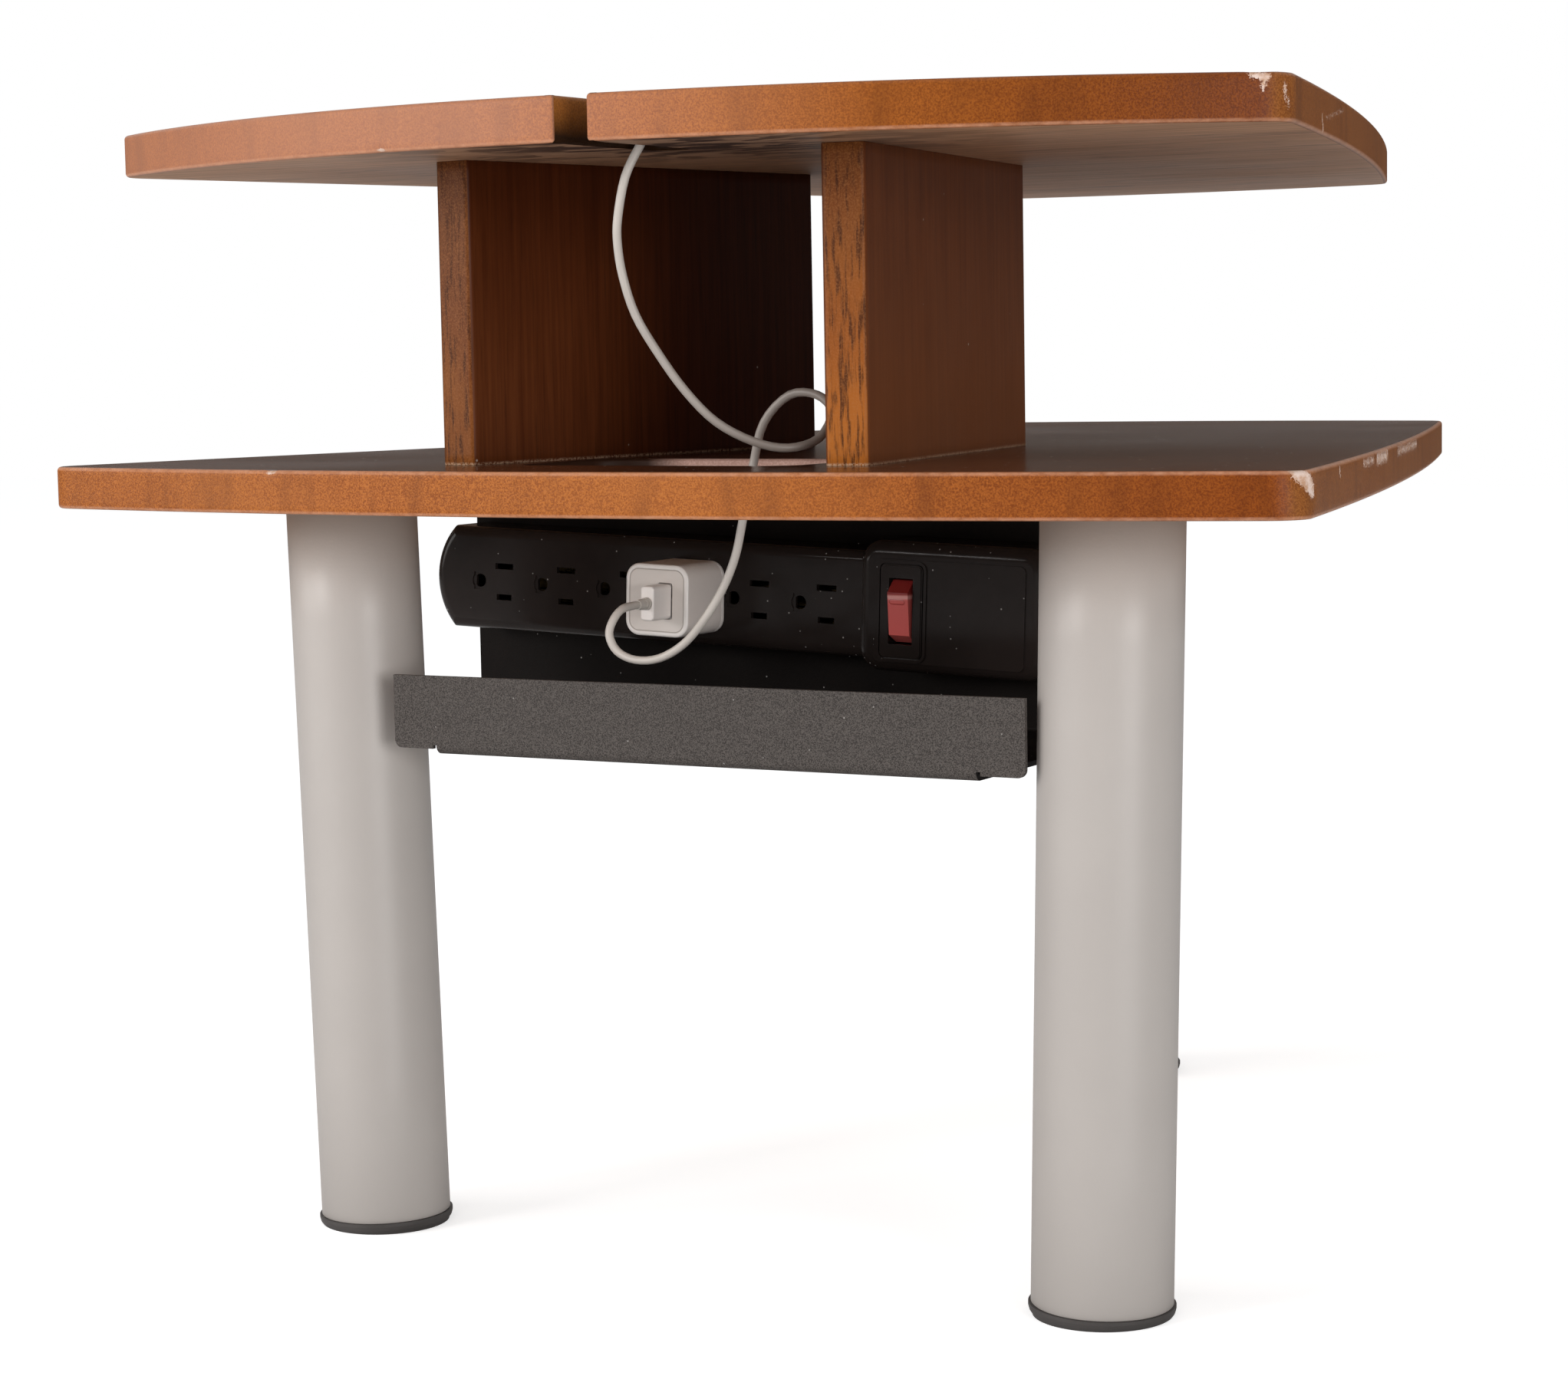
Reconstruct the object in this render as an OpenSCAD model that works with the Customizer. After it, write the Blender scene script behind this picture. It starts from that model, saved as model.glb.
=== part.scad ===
// Media table: two shaped tops, two standing boards, three round legs and a steel cable tray
// that holds a power strip with a charger. Millimetres. Origin on the floor, midway front to back.

/* [Tops] */
// Thickness of both tops
top_t = 16; // [12:1:22]
// Width of the upper top across its front corners
upper_w = 482; // [430:1:500]
// Length of the upper top from front to back
upper_l = 585; // [540:1:595]
// Width of the upper top across its back corners
upper_rear_w = 204; // [180:1:240]
// How far the front edge of the upper top bows out
upper_front_bow = 76; // [50:1:90]
// Width of the lower top across its front corners
lower_w = 516; // [470:1:560]
// Length of the lower top from front to back
lower_l = 604; // [580:1:640]
// Width of the lower top across its back corners
lower_rear_w = 236; // [210:1:270]
// How far the front edge of the lower top bows out
lower_front_bow = 30; // [15:1:45]
// How far the upper top stands out before the lower one
front_overhang = 14; // [8:1:20]
// How far the side edges bow out
side_bow = 7; // [3:1:12]
// How far the back edges bow out
rear_bow = 13; // [6:1:18]
// Radius of the tops' four corners
corner_r = 14; // [8:1:20]
// Rounding of the tops' arrises
arris = 1.5; // [0.8:0.1:2.5]

/* [Heights] */
// Height of the lower top's underside
leg_h = 286; // [270:1:320]
// Height of the bay between the tops
bay_h = 111; // [100:1:130]

/* [Boards] */
// Thickness of the standing boards
board_t = 16; // [12:1:20]
// Length of the standing boards
board_l = 205; // [180:1:220]
// Gap between the boards at the front
board_gap = 146; // [136:1:160]
// How far each board turns inward to the back, degrees
board_turn = 9.5; // [6:0.5:11]
// Set-back of the boards from the upper top's front edge
board_setback = 67; // [60:1:80]
// Radius of the boards' upright edges
board_r = 2; // [1:0.5:3]

/* [Legs] */
// Outside diameter of the leg tube
leg_d = 50.8; // [48:0.1:54]
// Wall of the leg tube
leg_wall = 1.5; // [1:0.1:2.5]
// Distance between the front legs at the floor
leg_spread = 310; // [300:1:340]
// Outward lean of the front legs to the top, degrees
leg_lean = 1.35; // [0:0.05:2]
// Front legs' set-back from the lower top's front edge
leg_setback = 98; // [92:1:110]
// Rear leg's distance from the lower top's back edge
rear_leg_inset = 126; // [100:1:140]
// Height of the foot ring
foot_h = 4; // [3:0.5:6]
// How far the foot ring stands out from the tube
foot_lip = 0.9; // [0.5:0.1:1.5]
// Length of the foot's spigot in the tube
spigot_l = 14; // [8:1:20]

/* [Cable ways] */
// Width of the notch in the upper top
notch_w = 13; // [10:1:16]
// Length of the notch from the front edge
notch_l = 70; // [60:1:74]
// Sideways place of the notch
notch_x = 14; // [8:1:20]
// Width of the cable cut-out in the lower top
cutout_w = 114; // [100:1:120]
// Depth of the cable cut-out, front to back
cutout_l = 62; // [50:1:66]
// Set-back of the cut-out from the lower top's front edge
cutout_setback = 56; // [50:1:60]
// Corner radius of the cut-out
cutout_r = 12; // [6:1:18]

/* [Cable tray] */
// Thickness of the tray's steel sheet
sheet_t = 2; // [1.5:0.1:2.5]
// Inner radius of the tray's bends
bend_r = 1.5; // [1:0.1:2.5]
// Width of the front lip
lip_w = 266; // [250:1:270]
// Height of the front lip
lip_h = 30; // [24:1:34]
// Width of the tray's floor
floor_w = 228; // [210:1:234]
// Sideways place of the tray's middle
tray_x = 4.5; // [0:0.5:6]
// Depth of the tray from the lip to the face of its back plate
tray_l = 131; // [120:1:140]
// Height of the tray's underside over the floor
tray_z = 191; // [180:1:194]
// Set-back of the lip from the lower top's front edge
tray_setback = 76; // [70:1:80]
// How far the back plate runs out past the tray's floor on the left
plate_wing = 67; // [50:1:70]
// Width of the flange under the lower top
flange_l = 25; // [20:1:30]

/* [Power strip] */
// Distance between outlets
outlet_pitch = 30; // [29:0.5:31]
// Height of the strip's body
strip_h = 42; // [40:0.5:46]
// Depth of the strip
strip_d = 28; // [26:0.5:30]
// Wall of the strip's shell
shell_wall = 2; // [1.6:0.1:2.4]
// Length of the raised panel on the switch housing
panel_l = 64; // [60:1:66]
// Height of the raised panel on the switch housing
panel_h = 40; // [40:0.5:42]
// How far the panel stands out from the housing
panel_rise = 0.6; // [0.4:0.1:1]
// Thickness of the strip's back cover
cover_t = 3; // [2:0.5:3.5]
// Height of the switch housing at the strip's end
housing_h = 51; // [48:0.5:54]
// Length of the switch housing
housing_l = 80; // [76:1:84]
// How far the housing stands out from the strip's face
housing_rise = 1.5; // [1:0.1:2]
// Turn of the strip in its own plane, degrees
strip_turn = 2.3; // [0:0.1:2.5]
// Place of the first outlet across the table
strip_x = -145; // [-150:1:-140]
// Height of the first outlet
strip_z = 249; // [246:1:251]
// Gap between the two blade slots of an outlet
slot_gap = 12.7; // [12.5:0.1:12.9]
// Distance from the slots to the ground hole
ground_gap = 11.9; // [11.7:0.1:12.1]

/* [Switch] */
// Width of the switch bezel
bezel_w = 18; // [17:0.5:19]
// Height of the switch bezel
bezel_h = 36; // [34:0.5:38]
// Radius of the rocker about its pin
rocker_r = 12.3; // [11.8:0.1:12.6]
// Width of the rocker
rocker_w = 8.8; // [8:0.1:10]
// Length of the rocker's flat face
rocker_flat = 16.8; // [14:0.2:18]
// Height of the rocker's face over its pin
rocker_face = 6.5; // [5:0.1:7]
// Full swing of the rocker, degrees
rocker_swing = 15; // [10:1:18]
// Diameter of the rocker's pin
pin_d = 2; // [1.6:0.1:2.4]

/* [Charger] */
// Side of the charger cube
cube_w = 28.5; // [27:0.5:29.5]
// Depth of the charger cube
cube_l = 28.5; // [27:0.5:30]
// Corner radius of the charger cube
cube_r = 6; // [4:0.5:7]
// Sideways place of the charger's port
port_x = 3.8; // [2:0.1:4]
// Length of the plug's moulded grip
grip_l = 13.6; // [12:0.1:15]
// Width of the plug's moulded grip
grip_w = 6; // [5.5:0.1:6.5]
// Height of the plug's moulded grip
grip_h = 13.5; // [13:0.1:14]

/* [Cord] */
// Diameter of the charging cord
cord_d = 3.2; // [3:0.1:3.4]
// Turns in each layer of the coil
coil_turns = 2; // [1:1:3]
// Outer radius of the coil at the middle of the cord
coil_r = 21; // [19:0.5:24]

/* [Clearances] */
// Between screws, bolts, dowels and their holes, on the radius
hole_gap = 0.1; // [0.05:0.01:0.2]
// Between the pin and the rocker's bore, on the radius
pin_gap = 0.05; // [0.02:0.01:0.08]
// Between a soft or loose piece and what it lies on
seat_gap = 0.3; // [0.2:0.05:0.4]

/* [Hidden] */
$fn = 64;
hull_fn = 32;
eps = 1;

// Levels and the front and back edges
lower_top_z = leg_h + top_t;
upper_z = lower_top_z + bay_h;
upper_top_z = upper_z + top_t;
depth = front_overhang + lower_l;
upper_front = -depth / 2;
lower_front = upper_front + front_overhang;
lower_back = lower_front + lower_l;
upper_back = upper_front + upper_l;

// Legs: floor points and leans
front_leg_y = lower_front + leg_setback;
rear_leg_y = lower_back - rear_leg_inset;
LEG_FOOT = [[-leg_spread / 2, front_leg_y, 0], [leg_spread / 2, front_leg_y, 0], [0, rear_leg_y, 0]];
LEG_TURN = [-leg_lean, leg_lean, 0];
tube_r = leg_d / 2;
bore_r = tube_r - leg_wall;
plug_t = 10;
bolt_d = 8;
bolt_in_top = 11;
bolt_in_plug = 9;

// Boards and their fasteners
board_y = upper_front + board_setback;
fastener_inset = 35;
FASTENER_STEPS = [fastener_inset, board_l - fastener_inset];
dowel_d = 8;
dowel_in_top = 10;
dowel_in_board = 16;
screw_d = 5;
screw_l = 45;
screw_head_d = 9.6;
screw_head_t = 2.8;

// Tray
lip_y = lower_front + tray_setback;
plate_y = lip_y + tray_l;
bend_out = bend_r + sheet_t;
floor_left = tray_x - floor_w / 2;
floor_right = tray_x + floor_w / 2;
plate_left = floor_left - plate_wing;
relief_h = 2;
relief_w = 1.5;
lip_corner_r = 3;
tray_screw_d = 4;
tray_screw_l = 12;
tray_screw_inset = 20;
TRAY_SCREW_X = [plate_left + tray_screw_inset, floor_left + tray_screw_inset,
    tray_x + 2 * tray_screw_inset, floor_right - tray_screw_inset];
tray_screw_y = plate_y + bend_out + flange_l / 2;

// Power strip, in its own frame: x along it, y up, z out to the front, origin at outlet 1
strip_y = plate_y - strip_d;
outlets = 6;
strip_lift = 1;
strip_top = strip_h / 2 + strip_lift;
strip_bottom = strip_top - strip_h;
end_r = 30;
end_x = -34.4;
shell_edge = 4.5;
housing_edge = 5.5;
cavity_step = 2;
housing_start = 14;
housing_x = outlet_pitch * (outlets - 1) + housing_start;
housing_corner = 9;
wide_slot = 8.7;
narrow_slot = 7.2;
slot_t = 2.4;
ground_d = 5.4;
ground_flat = 1.9;
ground_rim = 0.9;
ground_in = 0.5;
bar_t = 0.8;
bar_z = -19;
leaf_t = 0.6;
leaf_l = 12;
leaf_w = 5;
boss_x = 5;
BOSSES = [[boss_x, 1], [outlet_pitch * 5, 1], [boss_x, -1], [outlet_pitch * 5, -1]];
boss_d = 5;
boss_seat = 0.3;
housing_boss_inset = 12;
screw_recess = 1.6;
case_screw_d = 2.5;
case_screw_l = 12;
HANG_X = [outlet_pitch * 1.5, housing_x + housing_l / 2];
hang_d = 4;
hang_boss = 4;

// Switch, about its own middle on the strip
switch_inset = 20;
switch_x = housing_x + switch_inset;
switch_y = -0.5;
bezel_rise = 1.7;
bezel_r = 2;
bezel_gap = 0.4;
rim_w = 1.2;
rim_h = 0.6;
box_wall = 1.3;
box_depth = 20;
swing_gap = 0.5;
side_gap = 0.7;
pin_z = -1.5;
rocker_half = rocker_w / 2;
box_w = rocker_w + 2 * (side_gap + box_wall);
box_h = 2 * (rocker_r + swing_gap + box_wall);
terminal_w = 6.3;
terminal_t = 0.8;

// Charger, about the middle of the fourth outlet
charger_x = outlet_pitch * 3;
back_t = 1.8;
cube_wall = 2;
cube_edge = 1.2;
blade_w = 6.35;
blade_t = 1.5;
blade_l = 16;
port_w = 5.1;
port_h = 12.6;
port_wall = 0.4;
port_l = 13;
circuit_t = 1.6;
metal_w = 4.5;
metal_h = 12;
relief_l = 7;

// Cord: coil on the upper top, and the route by hand
tie_t = 0.8;
layer_step = cord_d + 0.7;
coil_x = 32;
coil_y = -170;
coil_z = upper_top_z + tie_t + seat_gap + cord_d / 2;
coil_steps = 24;
lie_z = upper_top_z + seat_gap + cord_d / 2;
tip_grip = [9, 18, 4.4];
tip_metal = [6.7, 6.7, 1.6];

function strip_point(p) = [
    strip_x + p[0] * cos(strip_turn) + p[1] * sin(strip_turn),
    strip_y - p[2],
    strip_z - p[0] * sin(strip_turn) + p[1] * cos(strip_turn)];

cord_start = strip_point([charger_x + port_x, 0, cube_l + grip_l + relief_l]);
coil_start = [coil_x - coil_r, coil_y, coil_z];

// Free stretch from the plug down in a loop, up through the cut-out, round in the bay and up the notch
ROUTE = [
    cord_start,
    cord_start - [0, cord_d, 0],
    [-51, -177, 244.5],
    [-52, -182, 240.5],
    [-52.5, -184, 235],
    [-49, -184, 229],
    [-41, -184, 226],
    [-30, -185, 227],
    [-19, -186, 232.5],
    [-9, -188, 241.5],
    [1, -190, 254],
    [8.5, -193, 266.5],
    [13, -195, 279.5],
    [19, -197, 300],
    [25, -199, 316],
    [37, -201, 326],
    [50.5, -205, 326],
    [59.5, -211, 320],
    [60, -222, 311],
    [53, -232, 308],
    [42.5, -238, 310.5],
    [30.5, -243, 317.5],
    [20.5, -247, 328.5],
    [12, -251, 342],
    [5.5, -255, 355.5],
    [2.5, -258, 369],
    [2.5, -261, 380],
    [4, -263, 389],
    [8, -264, 403],
    [12, -260, 414],
    [13.5, -252, 423],
    [13.5, -241, 430.5],
    [12.5, -228, 431.5],
    [11, -208, 431],
    [coil_start[0], coil_y - 20, coil_z],
    [coil_start[0], coil_y - 10, coil_z],
    coil_start];

coil_end_z = coil_z + layer_step;
tail_l = 56;
tail_grip_y = coil_y + tail_l;
tail_end_z = upper_top_z + tip_grip[2] / 2;
TAIL = [
    for (s = [[0, 0], [0.14, 0], [0.29, 0.06], [0.5, 0.45], [0.71, 0.95], [0.89, 1], [1, 1]])
        [coil_start[0], coil_y + tail_l * s[0], coil_end_z + (tail_end_z - coil_end_z) * s[1]]];

// Outline of four bowed edges with rounded corners, anticlockwise

function unit(v) = v / norm(v);
function turned(a) = a - 360 * floor(a / 360);

// Arc over a chord that bows out by a rise: centre, radius, first and last angle
function arc_of(a, b, rise) =
    let (chord = norm(b - a), along = unit(b - a), out = [along[1], -along[0]],
        r = (chord * chord / 4 + rise * rise) / (2 * rise), centre = (a + b) / 2 - out * (r - rise),
        middle = atan2(out[1], out[0]), half = asin(chord / (2 * r)))
    [centre, r, middle - half, middle + half];

function on_arc(arc, angle) = arc[0] + arc[1] * [cos(angle), sin(angle)];

// Round corner from point p with heading a to point q with heading b
function corner_points(p, a, q, b, steps) =
    let (u = [-sin(a), cos(a)], v = [-sin(b), cos(b)], gap = q - p,
        s = (gap[0] * v[1] - gap[1] * v[0]) / (u[0] * v[1] - u[1] * v[0]),
        c = p + u * s, w = cos(turned(b - a) / 2))
    [for (i = [1 : steps - 1])
        let (t = i / steps, k0 = (1 - t) * (1 - t), k1 = 2 * w * t * (1 - t), k2 = t * t)
        (k0 * p + k1 * c + k2 * q) / (k0 + k1 + k2)];

function bowed_outline(corners, rises, r, arc_step = 18, corner_steps = 6) =
    let (n = len(corners),
        arcs = [for (i = [0 : n - 1]) arc_of(corners[i], corners[(i + 1) % n], rises[i])],
        cuts = [for (i = [0 : n - 1]) r * tan(turned(arcs[(i + 1) % n][2] - arcs[i][3]) / 2)],
        first = [for (i = [0 : n - 1]) arcs[i][2] + cuts[(i + n - 1) % n] / arcs[i][1] * 180 / PI],
        last = [for (i = [0 : n - 1]) arcs[i][3] - cuts[i] / arcs[i][1] * 180 / PI])
    [for (i = [0 : n - 1])
        let (steps = ceil(norm(corners[(i + 1) % n] - corners[i]) / arc_step), j = (i + 1) % n)
        each concat(
            [for (k = [0 : steps]) on_arc(arcs[i], first[i] + (last[i] - first[i]) * k / steps)],
            corner_points(on_arc(arcs[i], last[i]), last[i], on_arc(arcs[j], first[j]), first[j],
                corner_steps))];

function top_outline(w, rear_w, front, back, front_bow) = bowed_outline(
    [[-w / 2, front + front_bow], [w / 2, front + front_bow],
        [rear_w / 2, back - rear_bow], [-rear_w / 2, back - rear_bow]],
    [front_bow, side_bow, rear_bow, side_bow], corner_r);

// Tube along a path of points, with flat ends

function tangent(path, i) =
    i == 0 ? unit(path[1] - path[0]) :
    i == len(path) - 1 ? unit(path[i] - path[i - 1]) : unit(path[i + 1] - path[i - 1]);
function square_to(n, t) = unit(n - (n * t) * t);

module tube(path, d, sides, start, finish) {
    count = len(path);
    heads = [for (i = [0 : count - 1]) i == 0 ? start : i == count - 1 ? finish : tangent(path, i)];
    sideways = [for (i = 0, n = square_to([0.3, 0.2, 1], heads[0]); i < count;
        i = i + 1, n = i < count ? square_to(n, heads[i]) : n) n];
    points = [for (i = [0 : count - 1]) for (k = [0 : sides - 1])
        let (a = 360 * k / sides)
        path[i] + d / 2 * (cos(a) * sideways[i] + sin(a) * cross(heads[i], sideways[i]))];
    walls = [for (i = [0 : count - 2]) for (k = [0 : sides - 1])
        let (a = i * sides + k, b = i * sides + (k + 1) % sides)
        each [[a, a + sides, b], [b, a + sides, b + sides]]];
    base = (count - 1) * sides;
    caps = [for (k = [1 : sides - 2]) each [[0, k, k + 1], [base, base + k + 1, base + k]]];
    polyhedron(points, concat(walls, caps));
}

// Smooth path through route points, with a few rings a stretch
function smooth(a, b, c, d, t) = 0.5 * (2 * b + (c - a) * t
    + (2 * a - 5 * b + 4 * c - d) * t * t + (3 * b - a - 3 * c + d) * t * t * t);
function smooth_path(route, rings) =
    let (last = len(route) - 1)
    concat([for (i = [0 : last - 1]) for (k = [0 : rings - 1])
        smooth(route[max(i - 1, 0)], route[i], route[i + 1], route[min(i + 2, last)], k / rings)],
        [route[last]]);

// Coil: one layer winds in, steps up and winds out over it
function eased(t) = let (c = min(max(t, 0), 1)) c * c * (3 - 2 * c);
function coil_point(t) =
    let (inward = coil_turns - abs(t - coil_turns), r = coil_r - layer_step * inward, a = 180 - 360 * t)
    [coil_x + r * cos(a), coil_y + r * sin(a), coil_z + layer_step * eased((t - coil_turns) * 2 + 0.5)];
COIL = [for (i = [0 : 2 * coil_turns * coil_steps]) coil_point(i / coil_steps)];
coil_gap = min([for (i = [0 : len(COIL) - 1]) for (j = [i + coil_steps / 2 : 1 : len(COIL) - 1])
    norm(COIL[i] - COIL[j])]) - cord_d;
CORD_PATH = smooth_path(ROUTE, 2);
TAIL_PATH = smooth_path(TAIL, 1);
function path_length(path) = let (steps = [for (i = [1 : len(path) - 1]) norm(path[i] - path[i - 1])])
    steps * [for (s = steps) 1];
function bend_at(p) =
    let (a = norm(p[1] - p[0]), b = norm(p[2] - p[1]), c = norm(p[2] - p[0]),
        area = norm(cross(p[1] - p[0], p[2] - p[0])) / 2)
    area < 0.0001 ? 1000 : a * b * c / (4 * area);
tightest = min([for (i = [1 : len(CORD_PATH) - 2]) bend_at([for (k = [-1 : 1]) CORD_PATH[i + k]])]);
echo(coil_gap = coil_gap, tightest_bend = tightest, free = path_length(CORD_PATH),
    coil = path_length(COIL), tail = path_length(TAIL_PATH), rings = len(CORD_PATH) + len(TAIL_PATH));

// Shared shapes

module rounded(w, h, r) {
    square([w - 2 * r, h], center = true);
    square([w, h - 2 * r], center = true);
    for (x = [-1, 1])
        for (y = [-1, 1])
            translate([x * (w / 2 - r), y * (h / 2 - r)]) circle(r);
}

module shaped_top(points) {
    hull() {
        translate([0, 0, arris]) linear_extrude(top_t - 2 * arris) polygon(points);
        translate([0, 0, arris * 0.3]) linear_extrude(top_t - 0.6 * arris)
            offset(delta = -arris * 0.3) polygon(points);
        linear_extrude(top_t) offset(delta = -arris) polygon(points);
    }
}

// Slab that runs back from z = 0, its front edge rounded by edge
module moulded_slab(d, edge) {
    hull()
        for (a = [0 : 15 : 90])
            translate([0, 0, -d]) linear_extrude(d - edge * (1 - sin(a)))
                offset(delta = -edge * (1 - cos(a))) children();
}

module screw(d, length, head_d, head_t) {
    rotate_extrude()
        polygon([[0, 0], [head_d / 2, 0], [d / 2, head_t], [d / 2, length - d / 2], [0, length]]);
}

module on_leg(i) {
    translate(LEG_FOOT[i]) rotate([0, LEG_TURN[i], 0]) children();
}

module on_board(side) {
    mirror([side < 0 ? 1 : 0, 0, 0]) translate([board_gap / 2, board_y, 0]) rotate(board_turn) children();
}

module on_strip() {
    translate([strip_x, strip_y, strip_z]) rotate([0, strip_turn, 0]) rotate([90, 0, 0]) children();
}

module on_switch() {
    on_strip() translate([switch_x, switch_y, 0]) children();
}

module on_charger() {
    on_strip() translate([charger_x, 0, 0]) children();
}

module below(z) {
    intersection() {
        children();
        translate([-upper_w, -depth, 0]) cube([2 * upper_w, 2 * depth, z]);
    }
}

// Tops

module notch_cut() {
    inner = upper_front + notch_l - notch_w / 2;
    translate([notch_x, 0, upper_z - eps]) linear_extrude(top_t + 2 * eps) {
        translate([0, inner]) circle(notch_w / 2);
        translate([-notch_w / 2, upper_front - eps]) square([notch_w, inner - upper_front + eps]);
    }
}

module upper_top() {
    color("saddlebrown") difference() {
        translate([0, 0, upper_z])
            shaped_top(top_outline(upper_w, upper_rear_w, upper_front, upper_back, upper_front_bow));
        notch_cut();
        for (side = [-1, 1])
            for (s = FASTENER_STEPS)
                on_board(side) translate([board_t / 2, s, upper_z - eps])
                    cylinder(r = dowel_d / 2 + hole_gap, h = dowel_in_top + hole_gap + eps);
    }
}

module lower_top() {
    cut_y = lower_front + cutout_setback + cutout_l / 2;
    color("saddlebrown") difference() {
        translate([0, 0, leg_h])
            shaped_top(top_outline(lower_w, lower_rear_w, lower_front, lower_back, lower_front_bow));
        translate([0, cut_y, leg_h - eps]) linear_extrude(top_t + 2 * eps)
            rounded(cutout_w, cutout_l, cutout_r);
        for (side = [-1, 1])
            for (s = FASTENER_STEPS)
                on_board(side) translate([board_t / 2, s, leg_h]) {
                    translate([0, 0, -eps]) cylinder(r = screw_d / 2 + hole_gap, h = top_t + 2 * eps);
                    translate([0, 0, -hole_gap]) cylinder(r1 = screw_head_d / 2 + hole_gap,
                        r2 = screw_d / 2 + hole_gap, h = screw_head_t + hole_gap);
                }
        for (i = [0 : 2])
            on_leg(i) translate([0, 0, leg_h - eps])
                cylinder(r = bolt_d / 2 + hole_gap, h = bolt_in_top + hole_gap + eps);
        for (x = TRAY_SCREW_X)
            translate([x, tray_screw_y, leg_h - eps])
                cylinder(r = tray_screw_d / 2 + hole_gap, h = tray_screw_l - sheet_t + hole_gap + eps);
    }
}

// Standing boards

module board(side) {
    color("sienna") difference() {
        on_board(side) translate([board_t / 2, board_l / 2, lower_top_z])
            linear_extrude(bay_h) rounded(board_t, board_l, board_r);
        for (s = FASTENER_STEPS)
            on_board(side) translate([board_t / 2, s, 0]) {
                translate([0, 0, leg_h]) cylinder(r = screw_d / 2 + hole_gap, h = screw_l + hole_gap);
                translate([0, 0, upper_z - dowel_in_board - hole_gap])
                    cylinder(r = dowel_d / 2 + hole_gap, h = dowel_in_board + hole_gap + eps);
            }
    }
}

module left_board() {
    board(-1);
}

module right_board() {
    board(1);
}

module board_dowels() {
    color("burlywood")
        for (side = [-1, 1])
            for (s = FASTENER_STEPS)
                on_board(side) translate([board_t / 2, s, upper_z - dowel_in_board])
                    cylinder(d = dowel_d, h = dowel_in_board + dowel_in_top);
}

module board_screws() {
    color("silver")
        for (side = [-1, 1])
            for (s = FASTENER_STEPS)
                on_board(side) translate([board_t / 2, s, leg_h])
                    screw(screw_d, screw_l, screw_head_d, screw_head_t);
}

// Legs: the tube is cut square to its lean at the foot and level under the top

module leg(i) {
    color("darkgray") below(leg_h)
        on_leg(i) translate([0, 0, foot_h]) difference() {
            cylinder(r = tube_r, h = leg_h);
            translate([0, 0, -eps]) cylinder(r = bore_r, h = leg_h + 2 * eps);
        }
}

module foot(i) {
    ring_r = tube_r + foot_lip;
    color("dimgray") below(leg_h)
        on_leg(i) rotate_extrude() polygon([[0, -foot_h], [ring_r - 2, -foot_h], [ring_r - 1.4, 0],
            [ring_r - 0.4, foot_h * 0.35], [ring_r, foot_h * 0.7], [ring_r, foot_h],
            [bore_r - hole_gap, foot_h], [bore_r - hole_gap, foot_h + spigot_l - 1.5],
            [bore_r - 1.5, foot_h + spigot_l], [0, foot_h + spigot_l]]);
}

module front_left_leg() {
    leg(0);
}

module front_right_leg() {
    leg(1);
}

module rear_leg() {
    leg(2);
}

module front_left_foot() {
    foot(0);
}

module front_right_foot() {
    foot(1);
}

module rear_foot() {
    foot(2);
}

module leg_end_plugs() {
    color("gray") below(leg_h)
        for (i = [0 : 2])
            on_leg(i) translate([0, 0, leg_h - plug_t]) difference() {
                cylinder(r = bore_r - hole_gap, h = 2 * plug_t);
                translate([0, 0, -eps]) cylinder(r = bolt_d / 2 + hole_gap, h = 2 * plug_t + 2 * eps);
            }
}

module leg_bolts() {
    color("silver")
        for (i = [0 : 2])
            on_leg(i) translate([0, 0, leg_h - bolt_in_plug])
                cylinder(d = bolt_d, h = bolt_in_plug + bolt_in_top);
}

// Cable tray: one bent sheet, drawn in its section and run along the width

module bend(quarter) {
    rotate(quarter * 90) intersection() {
        difference() {
            circle(bend_out);
            circle(bend_r);
        }
        square(bend_out);
    }
}

module run_along(left, right) {
    translate([left, 0, 0]) rotate([90, 0, 90]) linear_extrude(right - left) children();
}

module back_section(bottom) {
    translate([plate_y, bottom]) square([sheet_t, leg_h - bend_out - bottom]);
    translate([plate_y + bend_out, leg_h - bend_out]) bend(1);
    translate([plate_y + bend_out, leg_h - sheet_t]) square([flange_l, sheet_t]);
}

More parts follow.
